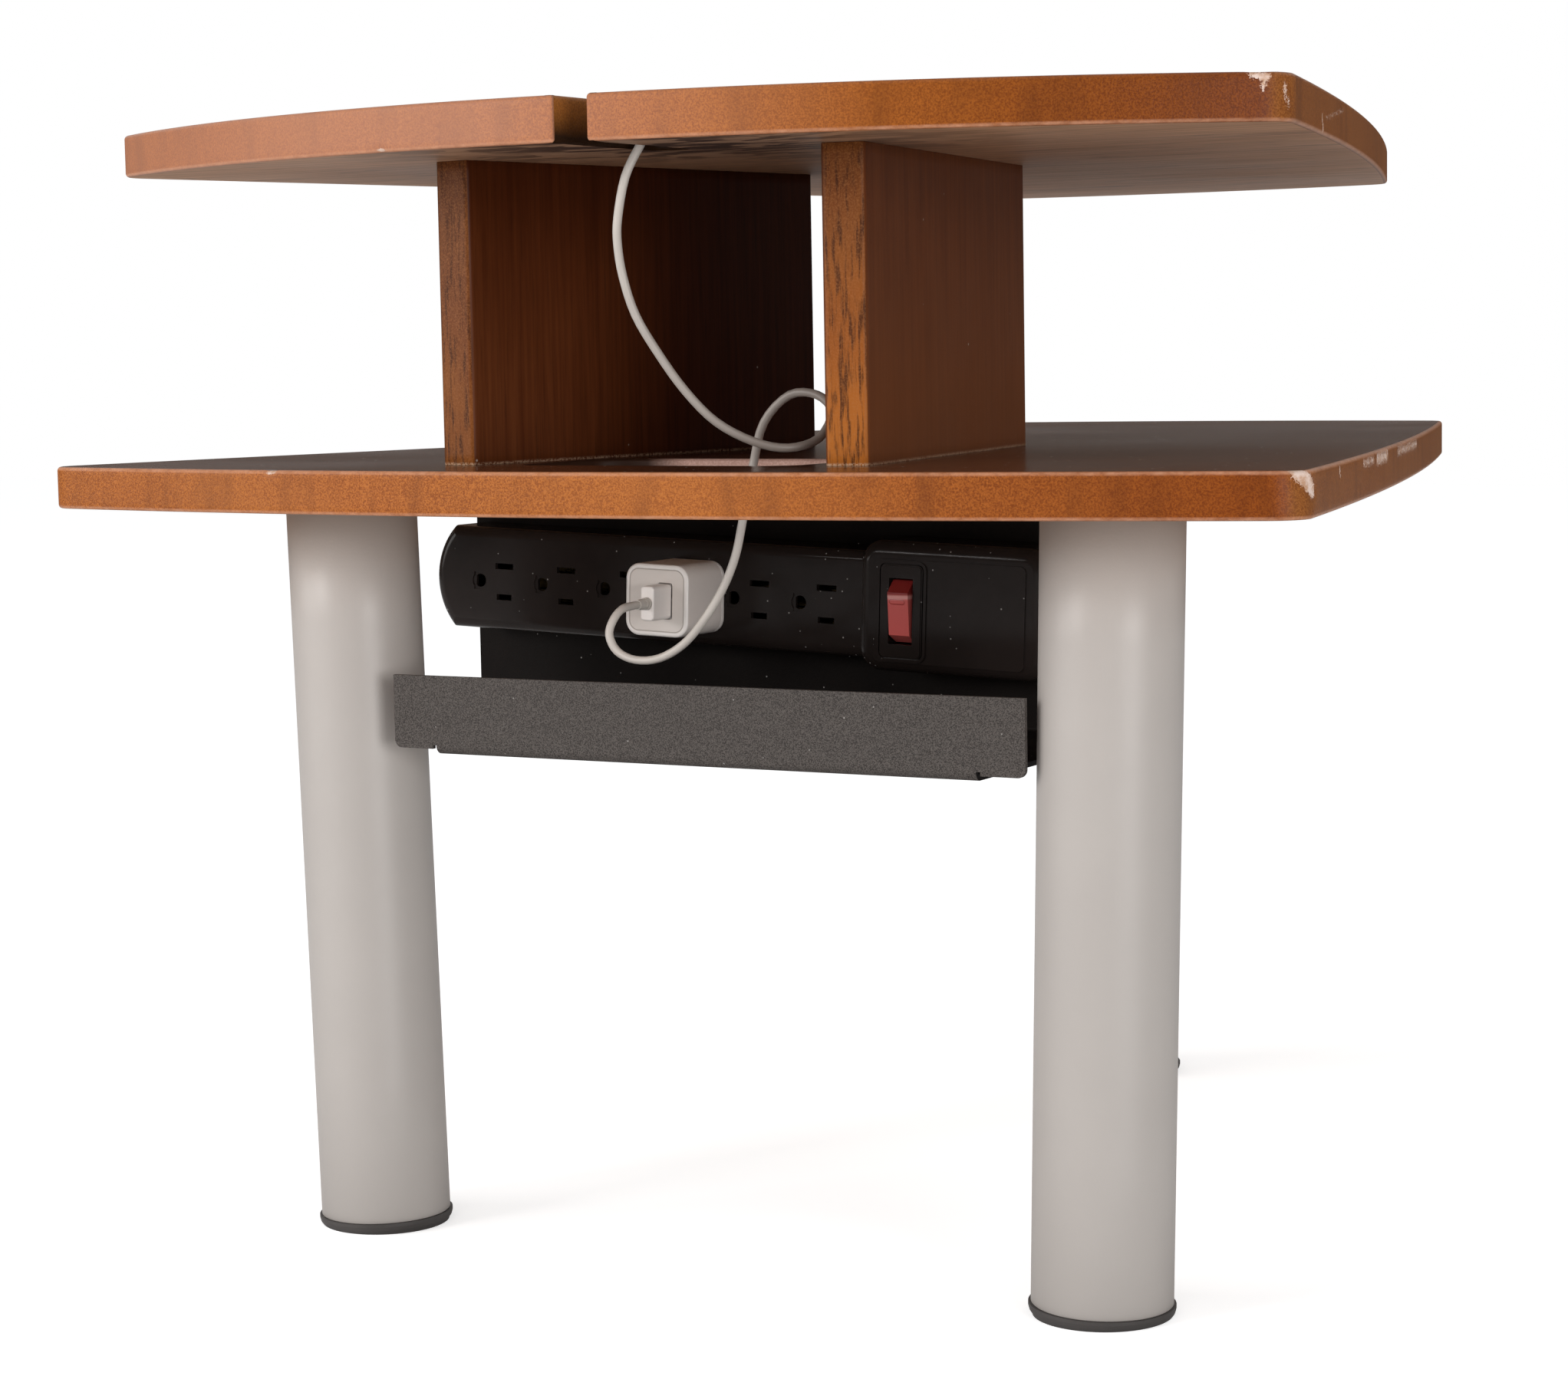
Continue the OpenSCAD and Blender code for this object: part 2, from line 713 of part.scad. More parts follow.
module cable_tray() {
    lip_left = tray_x - lip_w / 2;
    lip_right = tray_x + lip_w / 2;
    color("dimgray") difference() {
        union() {
            run_along(floor_left, floor_right) {
                translate([lip_y + bend_out, tray_z]) square([tray_l + sheet_t - 2 * bend_out, sheet_t]);
                translate([lip_y + bend_out, tray_z + bend_out]) bend(2);
                translate([plate_y + sheet_t - bend_out, tray_z + bend_out]) bend(3);
                back_section(tray_z + bend_out);
            }
            run_along(plate_left, floor_left) back_section(tray_z + bend_out + relief_h);
            translate([0, lip_y + sheet_t, 0]) rotate([90, 0, 0]) linear_extrude(sheet_t) difference() {
                translate([tray_x, tray_z + relief_h + (lip_h - relief_h) / 2])
                    rounded(lip_w, lip_h - relief_h, lip_corner_r);
                translate([floor_left - relief_w, tray_z]) square([floor_w + 2 * relief_w, bend_out]);
            }
            translate([floor_left, lip_y, tray_z + bend_out]) cube([floor_w, sheet_t, lip_h - bend_out]);
            translate([lip_left, lip_y, tray_z + lip_h / 2]) cube([lip_right - lip_left, sheet_t, lip_h / 2]);
        }
        for (x = TRAY_SCREW_X)
            translate([x, tray_screw_y, leg_h - sheet_t - eps])
                cylinder(r = tray_screw_d / 2 + hole_gap, h = sheet_t + 2 * eps);
        on_strip()
            for (x = HANG_X)
                translate([x, 0, -strip_d - sheet_t - eps])
                    cylinder(r = hang_d / 2 + hole_gap, h = sheet_t + 2 * eps);
    }
}

module pan_head(d, head_t) {
    rotate_extrude() polygon([[0, -head_t], [d * 0.6, -head_t], [d * 0.9, -head_t * 0.6], [d, 0], [0, 0]]);
}

module tray_screws() {
    color("black")
        for (x = TRAY_SCREW_X)
            translate([x, tray_screw_y, leg_h - sheet_t]) {
                cylinder(d = tray_screw_d, h = tray_screw_l);
                pan_head(tray_screw_d, 2.4);
            }
}

// Power strip

module strip_body(inset) {
    right = housing_x + 10;
    intersection() {
        translate([end_x + end_r, strip_lift]) circle(end_r - inset, $fn = 96);
        translate([end_x, strip_bottom + inset]) square([end_r, strip_h - 2 * inset]);
    }
    translate([end_x + end_r - eps, strip_bottom + inset])
        square([right - end_x - end_r + eps, strip_h - 2 * inset]);
}

module housing(inset) {
    translate([housing_x + housing_l / 2, strip_lift])
        rounded(housing_l - 2 * inset, housing_h - 2 * inset, housing_corner - inset);
}

module outlet_cuts() {
    for (i = [0 : outlets - 1])
        translate([outlet_pitch * i, 0, -shell_wall - eps]) {
            translate([-wide_slot / 2, slot_gap / 2 - slot_t / 2, 0])
                cube([wide_slot, slot_t, shell_wall + 2 * eps]);
            translate([-narrow_slot / 2, -slot_gap / 2 - slot_t / 2, 0])
                cube([narrow_slot, slot_t, shell_wall + 2 * eps]);
            translate([-ground_gap, 0, 0]) intersection() {
                cylinder(d = ground_d, h = shell_wall + 2 * eps);
                translate([-ground_flat, -ground_d, 0]) cube([ground_d, 2 * ground_d, shell_wall + 2 * eps]);
            }
            translate([-ground_gap - ground_flat - ground_rim, -ground_d / 2 - ground_rim,
                eps + shell_wall - ground_in])
                cube([ground_flat + ground_rim, ground_d + 2 * ground_rim, ground_in + eps]);
            translate([-ground_gap, 0, eps + shell_wall - ground_in])
                cylinder(r = ground_d / 2 + ground_rim, h = ground_in + eps);
        }
}

// Raised panel round the switch, with a low rim that frames the bezel
module switch_panel() {
    panel_r = bezel_r + bezel_gap;
    difference() {
        union() {
            translate([housing_x + housing_l / 2, switch_y, housing_rise - shell_wall / 2])
                linear_extrude(panel_rise + shell_wall / 2) rounded(panel_l, panel_h, panel_r);
            translate([switch_x, switch_y, housing_rise]) linear_extrude(panel_rise + rim_h)
                rounded(bezel_w + 2 * (bezel_gap + rim_w), bezel_h + 2 * (bezel_gap + rim_w),
                    panel_r + rim_w);
        }
        translate([switch_x, switch_y, housing_rise]) linear_extrude(panel_rise + rim_h + eps)
            rounded(bezel_w + 2 * bezel_gap, bezel_h + 2 * bezel_gap, panel_r);
    }
}

module at_bosses() {
    reach = boss_d / 2 + shell_wall - boss_seat;
    for (b = BOSSES)
        translate([b[0], b[1] > 0 ? strip_top - reach : strip_bottom + reach, 0]) children();
    for (y = [-1, 1])
        translate([housing_x + housing_l - housing_boss_inset, strip_lift + y * (housing_h / 2 - reach), 0])
            children();
}

module strip_front_shell() {
    shell_d = strip_d - cover_t;
    color([0.13, 0.12, 0.12]) on_strip() difference() {
        union() {
            difference() {
                union() {
                    moulded_slab(shell_d, shell_edge) strip_body(0, $fn = hull_fn);
                    translate([0, 0, housing_rise])
                        moulded_slab(shell_d + housing_rise, housing_edge) housing(0, $fn = hull_fn);
                }
                for (step = [0, cavity_step])
                    translate([0, 0, -shell_d - eps]) {
                        cavity_h = shell_d + eps - shell_wall - cavity_step + step;
                        linear_extrude(cavity_h) strip_body(shell_wall + step);
                        linear_extrude(cavity_h + housing_rise) housing(shell_wall + step);
                    }
            }
            switch_panel();
            at_bosses() translate([0, 0, -shell_d]) cylinder(d = boss_d, h = shell_d - shell_wall);
        }
        outlet_cuts();
        at_bosses() translate([0, 0, -shell_d - eps])
            cylinder(r = case_screw_d / 2 + hole_gap, h = case_screw_l - cover_t + hole_gap + eps);
        translate([switch_x, switch_y, -shell_wall - eps]) linear_extrude(shell_wall + housing_rise + 2 * eps)
            square([box_w + 2 * hole_gap, box_h + 2 * hole_gap], center = true);
    }
}

module bar_rib(y, from, to) {
    translate([from, y - 1, -strip_d + cover_t - eps])
        cube([to - from, 2, strip_d - cover_t + bar_z - bar_t - seat_gap + eps]);
}

bar_left = -20;
bar_right = switch_x - box_w / 2 - seat_gap;

module strip_back_cover() {
    color([0.13, 0.12, 0.12]) on_strip() difference() {
        union() {
            translate([0, 0, -strip_d]) linear_extrude(cover_t) {
                strip_body(0);
                housing(0);
            }
            for (y = [-slot_gap / 2, 0, slot_gap / 2])
                bar_rib(y, bar_left + 4, bar_right - 12);
            for (x = HANG_X)
                translate([x, 0, -strip_d]) cylinder(d = hang_d + 4, h = cover_t + hang_boss);
        }
        for (x = HANG_X)
            translate([x, 0, -strip_d - eps])
                cylinder(r = hang_d / 2 + hole_gap, h = cover_t + hang_boss - 1 + eps);
        at_bosses() {
            translate([0, 0, -strip_d - eps])
                cylinder(r = case_screw_d / 2 + hole_gap, h = cover_t + 2 * eps);
            translate([0, 0, -strip_d - eps]) cylinder(r = case_screw_d + hole_gap, h = screw_recess + eps);
        }
    }
}

// Bar with a pair of spring leaves at each outlet
module bus_bar(y, shift, spread, bar_w) {
    color("goldenrod") on_strip() {
        translate([bar_left, y - bar_w / 2, bar_z - bar_t]) cube([bar_right - bar_left, bar_w, bar_t]);
        for (i = [0 : outlets - 1])
            for (side = [-1, 1])
                translate([outlet_pitch * i + shift - leaf_w / 2,
                    y + side * (spread + leaf_t / 2) - leaf_t / 2, bar_z])
                    cube([leaf_w, leaf_t, leaf_l]);
    }
}

module hot_bus_bar() {
    bus_bar(-slot_gap / 2, 0, blade_t / 2 + seat_gap, 4.4);
}

module neutral_bus_bar() {
    bus_bar(slot_gap / 2, 0, blade_t / 2 + seat_gap, 4.4);
}

module ground_bus_bar() {
    bus_bar(0, -ground_gap, 2.4, 6.2);
}

module strip_case_screws() {
    color("silver") on_strip() at_bosses() translate([0, 0, -strip_d + screw_recess]) {
        cylinder(d = case_screw_d, h = case_screw_l - screw_recess);
        pan_head(case_screw_d, 1.5);
    }
}

module strip_mount_screws() {
    color("silver") on_strip()
        for (x = HANG_X)
            translate([x, 0, -strip_d - sheet_t]) {
                cylinder(d = hang_d, h = sheet_t + cover_t + hang_boss - 1.5);
                pan_head(hang_d, 2.4);
            }
}

// Switch: the bezel and its box are one moulding, the rocker swings on a pin through the box

module switch_bezel() {
    face = housing_rise + bezel_rise;
    color([0.1, 0.1, 0.1]) on_switch() difference() {
        union() {
            translate([0, 0, housing_rise]) linear_extrude(bezel_rise - 0.5)
                rounded(bezel_w, bezel_h, bezel_r);
            translate([0, 0, face - 0.5]) linear_extrude(0.5)
                rounded(bezel_w - 1, bezel_h - 1, bezel_r - 0.5);
            translate([-box_w / 2, -box_h / 2, -box_depth]) cube([box_w, box_h, box_depth + housing_rise]);
        }
        translate([-box_w / 2 + box_wall, -box_h / 2 + box_wall, box_wall - box_depth])
            cube([box_w - 2 * box_wall, box_h - 2 * box_wall, box_depth + face]);
        translate([-box_w, 0, pin_z]) rotate([0, 90, 0]) cylinder(r = pin_d / 2 + pin_gap, h = 2 * box_w);
        for (y = [-6, 6])
            translate([-terminal_w / 2 - hole_gap, y - terminal_t / 2 - hole_gap, -box_depth - eps])
                cube([terminal_w + 2 * hole_gap, terminal_t + 2 * hole_gap, box_wall + 2 * eps]);
    }
}

module switch_contacts() {
    tip = pin_z - rocker_r - 1;
    color("goldenrod") on_switch()
        for (y = [-6, 6])
            translate([-terminal_w / 2, y - terminal_t / 2, -box_depth - 3.5])
                cube([terminal_w, terminal_t, tip + box_depth + 3.5]);
}

module rocker() {
    half = rocker_flat / 2;
    color([0.75, 0.2, 0.2]) on_switch() translate([0, 0, pin_z]) rotate([rocker_swing / 2, 0, 0])
        rotate([90, 0, 90]) translate([0, 0, -rocker_half]) linear_extrude(rocker_w) difference() {
            intersection() {
                circle(rocker_r, $fn = 96);
                polygon([[-half, rocker_face], [-rocker_r, 1], [-rocker_r, -2], [-5, -5], [5, -5],
                    [rocker_r, -2], [rocker_r, 1], [half, rocker_face]]);
            }
            circle(pin_d / 2 + pin_gap);
        }
}

module rocker_pin() {
    color("silver") on_switch() translate([-box_w / 2, 0, pin_z]) rotate([0, 90, 0])
        cylinder(d = pin_d, h = box_w);
}

// Charger in the fourth outlet

module adapter_shell() {
    color("whitesmoke") on_charger() difference() {
        translate([0, 0, cube_l])
            moulded_slab(cube_l - back_t, cube_edge) rounded(cube_w, cube_w, cube_r, $fn = hull_fn);
        translate([0, 0, back_t - eps]) linear_extrude(cube_l - back_t - cube_wall + eps)
            rounded(cube_w - 2 * cube_wall, cube_w - 2 * cube_wall, cube_r - cube_wall);
        translate([port_x, 0, cube_l - cube_wall - eps]) linear_extrude(cube_wall + 2 * eps)
            square([port_w + 2 * (port_wall + hole_gap), port_h + 2 * (port_wall + hole_gap)], center = true);
    }
}

module blade_pair(grow) {
    for (y = [-slot_gap / 2, slot_gap / 2])
        translate([0, y]) square([blade_w + 2 * grow, blade_t + 2 * grow], center = true);
}

module adapter_back() {
    color("whitesmoke") on_charger() linear_extrude(back_t) difference() {
        rounded(cube_w, cube_w, cube_r);
        blade_pair(hole_gap);
    }
}

circuit_z = cube_l - port_l - circuit_t;

module adapter_blades() {
    color("silver") on_charger() translate([0, 0, -blade_l])
        linear_extrude(blade_l + circuit_z - seat_gap) blade_pair(0);
}

module adapter_circuit() {
    inner = cube_w - 2 * cube_wall - 2 * seat_gap;
    color("darkgreen") on_charger() translate([0, 0, circuit_z])
        linear_extrude(circuit_t) rounded(inner, inner, cube_r - cube_wall);
}

module adapter_usb_socket() {
    color("silver") on_charger() translate([port_x, 0, cube_l - port_l]) difference() {
        linear_extrude(port_l) square([port_w + 2 * port_wall, port_h + 2 * port_wall], center = true);
        translate([0, 0, port_wall]) linear_extrude(port_l) square([port_w, port_h], center = true);
    }
}

module usb_plug_shell() {
    color("silver") on_charger() translate([port_x, 0, cube_l - port_l + port_wall + seat_gap])
        linear_extrude(port_l - port_wall - seat_gap) square([metal_w, metal_h], center = true);
}

module usb_plug_grip() {
    color("whitesmoke") on_charger() translate([port_x, 0, cube_l + grip_l])
        moulded_slab(grip_l, 0.8) rounded(grip_w, grip_h, 1.5, $fn = hull_fn);
}

module plug_relief() {
    color("whitesmoke") on_charger() translate([port_x, 0, cube_l + grip_l]) rotate_extrude() difference() {
        polygon([[0, 0], [2.5, 0], [1.9, relief_l], [0, relief_l]]);
        for (z = [1.5 : 1.6 : relief_l - 1])
            translate([2.1, z]) square([1, 0.7]);
    }
}

// Cord

module charging_cord() {
    color("whitesmoke") tube(CORD_PATH, cord_d, 8, [0, -1, 0], [0, 1, 0]);
}

module cord_coil() {
    color("whitesmoke") tube(COIL, cord_d, 6, [0, 1, 0], [0, 1, 0]);
}

module cord_tail() {
    color("whitesmoke") tube(TAIL_PATH, cord_d, 8, [0, 1, 0], [0, 1, 0]);
}

// Band round the bundle of turns on the coil's right
module cord_tie() {
    reach = cord_d / 2 + seat_gap;
    near = coil_r - layer_step * (coil_turns - 0.5) - reach;
    far = coil_r - layer_step * 0.5 + reach;
    high = layer_step + 2 * reach;
    color("dimgray") translate([coil_x + (near + far) / 2, coil_y + 3, coil_z - reach + high / 2])
        rotate([90, 0, 0]) linear_extrude(6) difference() {
            square([far - near + 2 * tie_t, high + 2 * tie_t], center = true);
            square([far - near, high], center = true);
        }
}

module connector_grip() {
    color("whitesmoke") translate([coil_start[0], tail_grip_y, upper_top_z + tip_grip[2] / 2])
        rotate([-90, 0, 0]) linear_extrude(tip_grip[1]) rounded(tip_grip[0], tip_grip[2], 1.6);
}

module connector_tip() {
    color("silver") translate([coil_start[0], tail_grip_y + tip_grip[1], upper_top_z + tip_grip[2] / 2])
        rotate([-90, 0, 0]) linear_extrude(tip_metal[1]) rounded(tip_metal[0], tip_metal[2], 0.6);
}

upper_top();
lower_top();
left_board();
right_board();
board_dowels();
board_screws();
front_left_leg();
front_right_leg();
rear_leg();
leg_end_plugs();
leg_bolts();
front_left_foot();
front_right_foot();
rear_foot();
cable_tray();
tray_screws();
strip_front_shell();
strip_back_cover();
hot_bus_bar();
neutral_bus_bar();
ground_bus_bar();
strip_case_screws();
strip_mount_screws();
switch_bezel();
switch_contacts();
rocker();
rocker_pin();
adapter_shell();
adapter_back();
adapter_blades();
adapter_circuit();
adapter_usb_socket();
usb_plug_shell();
usb_plug_grip();
plug_relief();
charging_cord();
cord_coil();
cord_tail();
cord_tie();
connector_grip();
connector_tip();
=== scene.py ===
# %% [markdown]
# # A media table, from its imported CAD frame
# This lesson dresses a small media table: two stained wooden tops with two standing boards
# between them, three steel legs, and a steel tray that holds a power strip with a charger.
# The CAD model is loaded first and never moves. Each new piece is worked out in the same
# frame, in metres, with the origin on the floor under the middle of the table.

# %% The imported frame
import math

import bmesh
import bpy
import numpy as np
from mathutils import Matrix, Vector
from mathutils.geometry import tessellate_polygon


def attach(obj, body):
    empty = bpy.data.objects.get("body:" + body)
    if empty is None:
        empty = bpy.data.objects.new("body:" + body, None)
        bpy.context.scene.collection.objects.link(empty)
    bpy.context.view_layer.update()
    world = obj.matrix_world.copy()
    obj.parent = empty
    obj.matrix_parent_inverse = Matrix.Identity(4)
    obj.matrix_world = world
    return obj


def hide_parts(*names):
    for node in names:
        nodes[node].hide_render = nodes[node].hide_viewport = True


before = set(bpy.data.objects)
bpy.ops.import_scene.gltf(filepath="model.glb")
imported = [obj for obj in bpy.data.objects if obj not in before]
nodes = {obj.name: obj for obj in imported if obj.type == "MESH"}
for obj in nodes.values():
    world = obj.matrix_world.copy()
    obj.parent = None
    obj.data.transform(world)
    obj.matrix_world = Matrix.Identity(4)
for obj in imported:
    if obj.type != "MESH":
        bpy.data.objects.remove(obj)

bpy.context.view_layer.update()
MM = 0.001

# %% [markdown]
# ## The camera
# A camera can be aimed by eye, or worked out from known points of the object. Here its place,
# turn and lens come from a least-squares fit of edges and outlet spacings, so the matrix is
# built from a heading, a downward tilt and a small roll. The lens has no shift.

# %% Camera
EYE = Vector((639.599, -1296.591, 346.110)) * MM
HEADING, TILT, ROLL = math.radians(-28.993), math.radians(5.884), math.radians(1.0281)
FOCAL_PIXELS, FRAME_PIXELS, SENSOR = 4495.7, 2044, 36.0


def shown(name, data):
    """New object with this data, linked into the scene."""
    made = bpy.data.objects.new(name, data)
    bpy.context.collection.objects.link(made)
    return made


forward = Vector((math.sin(HEADING) * math.cos(TILT), math.cos(HEADING) * math.cos(TILT), -math.sin(TILT)))
level = Vector((math.cos(HEADING), -math.sin(HEADING), 0))
lower = forward.cross(level)
right = math.cos(ROLL) * level + math.sin(ROLL) * lower
up = math.sin(ROLL) * level - math.cos(ROLL) * lower
lens = bpy.data.cameras.new("camera")
lens.lens, lens.sensor_width, lens.sensor_fit = FOCAL_PIXELS / FRAME_PIXELS * SENSOR, SENSOR, "HORIZONTAL"
lens.clip_start, lens.clip_end = 0.05, 50
camera = shown("camera", lens)
camera.matrix_world = Matrix((right, up, -forward)).transposed().to_4x4()
camera.location = EYE
bpy.context.scene.camera = camera
print("lens:", round(lens.lens, 2), "mm, eye:", [round(v, 3) for v in EYE])

# %% [markdown]
# ## The charging lead
# A cord is best drawn as one curve with a round bevel, because the curve keeps its length while
# its path is edited. The route hangs in a loop over the tray's floor, climbs through the cut-out,
# turns round between the boards and comes up the notch. The spare length lies in a neat coil
# on the upper top. Each handle is a sixth of the way between the neighbours, which makes the
# same smooth line through the points that the CAD solids follow.

# %% Route of the lead
ROUTE = [(-51.276, -165.1, 245.236), (-51.276, -168.3, 245.236), (-51, -177, 244.5), (-52, -182, 240.5),
         (-52.5, -184, 235), (-49, -184, 229), (-41, -184, 226), (-30, -185, 227), (-19, -186, 232.5),
         (-9, -188, 241.5), (1, -190, 254), (8.5, -193, 266.5), (13, -195, 279.5), (19, -197, 300),
         (25, -199, 316), (37, -201, 326), (50.5, -205, 326), (59.5, -211, 320), (60, -222, 311),
         (53, -232, 308), (42.5, -238, 310.5), (30.5, -243, 317.5), (20.5, -247, 328.5), (12, -251, 342),
         (5.5, -255, 355.5), (2.5, -258, 369), (2.5, -261, 380), (4, -263, 389), (8, -264, 403),
         (12, -260, 414), (13.5, -252, 423), (13.5, -241, 430.5), (12.5, -228, 431.5), (11, -208, 431),
         (11, -190, 431.7), (11, -180, 431.7), (11, -170, 431.7)]
CORD_D, COIL_R, LAYER, COIL_TURNS = 3.2, 21, 3.9, 2
COIL_MIDDLE = (32, -170, 431.7)
TAIL_L, TAIL_END_Z = 56, 431.2
TAIL_STEPS, TAIL_DROP = (0.14, 0.29, 0.5, 0.71, 0.89, 1), (0, 0.06, 0.45, 0.95, 1, 1)


def eased(t):
    """Rises from 0 to 1 as the cubic 3t squared less 2t cubed, and is held at its ends."""
    t = np.clip(t, 0, 1)
    return t * t * (3 - 2 * t)


def coil_line(steps=24):
    """Winds in by a layer a turn, steps up a layer and winds out again: radius, angle and height by turns."""
    t = np.arange(1, 2 * COIL_TURNS * steps + 1) / steps
    r = COIL_R - LAYER * (COIL_TURNS - np.abs(t - COIL_TURNS))
    a = np.pi * (1 - 2 * t)
    z = COIL_MIDDLE[2] + LAYER * eased((t - COIL_TURNS) * 2 + 0.5)
    return np.column_stack((COIL_MIDDLE[0] + r * np.cos(a), COIL_MIDDLE[1] + r * np.sin(a), z))


def tail_line():
    """Leaves the coil's top layer level, eases down and runs level into the connector."""
    top = COIL_MIDDLE[2] + LAYER
    x = np.full(len(TAIL_STEPS), COIL_MIDDLE[0] - COIL_R)
    return np.column_stack((x, COIL_MIDDLE[1] + TAIL_L * np.array(TAIL_STEPS),
                            top + (TAIL_END_Z - top) * np.array(TAIL_DROP)))


lead_points = np.vstack((np.array(ROUTE, float), coil_line(), tail_line())) * MM
print("lead points:", len(lead_points))

# %% The lead as a curve


def smooth_curve(name, points, radius):
    """Open spline; a handle is a sixth of the way between the neighbours. The points hold the radius."""
    curve = bpy.data.curves.new(name, "CURVE")
    curve.dimensions, curve.bevel_depth, curve.bevel_resolution = "3D", 1.0, 3
    curve.resolution_u, curve.use_fill_caps = 4, True
    spline = curve.splines.new("BEZIER")
    spline.bezier_points.add(len(points) - 1)
    padded = np.vstack((points[:1], points, points[-1:]))
    reach = (padded[2:] - padded[:-2]) / 6
    for field, values in (("co", points), ("handle_left", points - reach), ("handle_right", points + reach)):
        spline.bezier_points.foreach_set(field, values.ravel())
    spline.bezier_points.foreach_set("radius", np.full(len(points), radius))
    return shown(name, curve)


lead = smooth_curve("charging_lead", lead_points, CORD_D / 2 * MM)
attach(lead, "table")
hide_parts("charging_cord", "cord_coil", "cord_tail")

# %% [markdown]
# ## Outlines of the two tops
# Each top is a trapezium whose four edges bow out, so the outline is four arcs with rounded
# corners. A modeller could bend a plane by hand, but an arc through two corners with a known
# rise has a closed formula, and the same numbers then give the CAD solid and this mesh. The
# points lie 2 mm apart, so that dents and chips have something to move.

# %% Bowed outline


def arc_over(a, b, rise):
    """Circle through a and b that bows out by rise: r is (half chord squared + rise squared) / (2 rise)."""
    a, b = np.array(a, float), np.array(b, float)
    chord = np.linalg.norm(b - a)
    along = (b - a) / chord
    out = np.array([along[1], -along[0]])
    r = (chord ** 2 / 4 + rise ** 2) / (2 * rise)
    middle, half = math.atan2(out[1], out[0]), math.asin(chord / 2 / r)
    return (a + b) / 2 - out * (r - rise), r, middle - half, middle + half


def on_circle(arc, angles):
    """Points of the circle at these angles: centre plus radius times cosine and sine."""
    return arc[0] + arc[1] * np.column_stack((np.cos(angles), np.sin(angles)))


def soft_corner(p, a, q, b, steps=8):
    """Weighted parabola from p, outward angle a, to q, outward angle b; between lines it is a true arc."""
    u, v = np.array([-math.sin(a), math.cos(a)]), np.array([-math.sin(b), math.cos(b)])
    gap = q - p
    tip = p + u * (gap[0] * v[1] - gap[1] * v[0]) / (u[0] * v[1] - u[1] * v[0])
    t = np.linspace(0, 1, steps + 1)[1:-1, None]
    k = (1 - t) ** 2, 2 * math.cos((b - a) % (2 * math.pi) / 2) * t * (1 - t), t ** 2
    return (k[0] * p + k[1] * tip + k[2] * q) / sum(k)


def bowed_outline(corners, rises, radius, step=2.0):
    """Four arcs, each shortened at its ends by the corner radius times the tangent of half the turn."""
    arcs = [arc_over(corners[i], corners[(i + 1) % 4], rises[i]) for i in range(4)]
    turns = [(arcs[(i + 1) % 4][2] - arcs[i][3]) % (2 * math.pi) for i in range(4)]
    cuts = [radius * math.tan(turn / 2) for turn in turns]
    parts = []
    for i in range(4):
        j = (i + 1) % 4
        first, last = arcs[i][2] + cuts[i - 1] / arcs[i][1], arcs[i][3] - cuts[i] / arcs[i][1]
        nxt = arcs[j][2] + cuts[i] / arcs[j][1]
        count = int(arcs[i][1] * (last - first) / step) + 1
        parts += [on_circle(arcs[i], np.linspace(first, last, count)),
                  soft_corner(on_circle(arcs[i], [last])[0], last, on_circle(arcs[j], [nxt])[0], nxt)]
    return np.vstack(parts)


def top_outline(width, rear_width, front, back, front_bow, side_bow=7, rear_bow=13, corner=14):
    """Outline with its front corners behind the front bow and its back corners before the back bow."""
    return bowed_outline([(-width / 2, front + front_bow), (width / 2, front + front_bow),
                          (rear_width / 2, back - rear_bow), (-rear_width / 2, back - rear_bow)],
                         [front_bow, side_bow, rear_bow, side_bow], corner)


upper_ring = top_outline(width=482, rear_width=204, front=-309, back=276, front_bow=76)
lower_ring = top_outline(width=516, rear_width=236, front=-295, back=309, front_bow=30)
print("outline points:", len(upper_ring), len(lower_ring))

# %% [markdown]
# ## The notch and the cut-out
# The upper top has a narrow notch for the lead, and the lower top a rounded cut-out over the
# tray. A Boolean would cut both, but it leaves messy faces for a bevel. The notch is part of
# the outline here: straight walls, half a circle at the end and a small fillet at each side of
# its mouth. The cut-out is a second ring that runs the other way round.

# %% Notch in the outline and ring of the cut-out


def with_notch(ring, middle, width, end, fillet=1.0, wall_steps=26):
    """Replaces the front points near the notch by a fillet, a wall, half a circle, a wall and a fillet."""
    half = width / 2
    front = (np.abs(ring[:, 0] - middle) < half + fillet) & (ring[:, 1] < 0)
    first, last = np.flatnonzero(front)[[0, -1]]
    beside = ring[first - 3:last + 4]
    edge_y = np.interp([middle - half, middle + half], beside[:, 0], beside[:, 1])
    t = np.linspace(0, 1, 7)[:, None]

    def mouth(side, y):
        corner = np.array([middle + side * half, y])
        outer, inner = corner + (side * fillet, 0), corner + (0, fillet)
        return (1 - t) ** 2 * outer + 2 * t * (1 - t) * corner + t ** 2 * inner

    turn = np.linspace(np.pi, 0, 17)
    wall_y = np.linspace(edge_y.max() + fillet + 2, end - half - 2, wall_steps)
    left = np.column_stack((np.full(wall_steps, middle - half), wall_y))
    right = np.column_stack((np.full(wall_steps, middle + half), wall_y[::-1]))
    dome = np.column_stack((middle + half * np.cos(turn), end - half + half * np.sin(turn)))
    return np.vstack((ring[:first], mouth(-1, edge_y[0]), left, dome, right,
                      mouth(1, edge_y[1])[::-1], ring[last + 1:]))


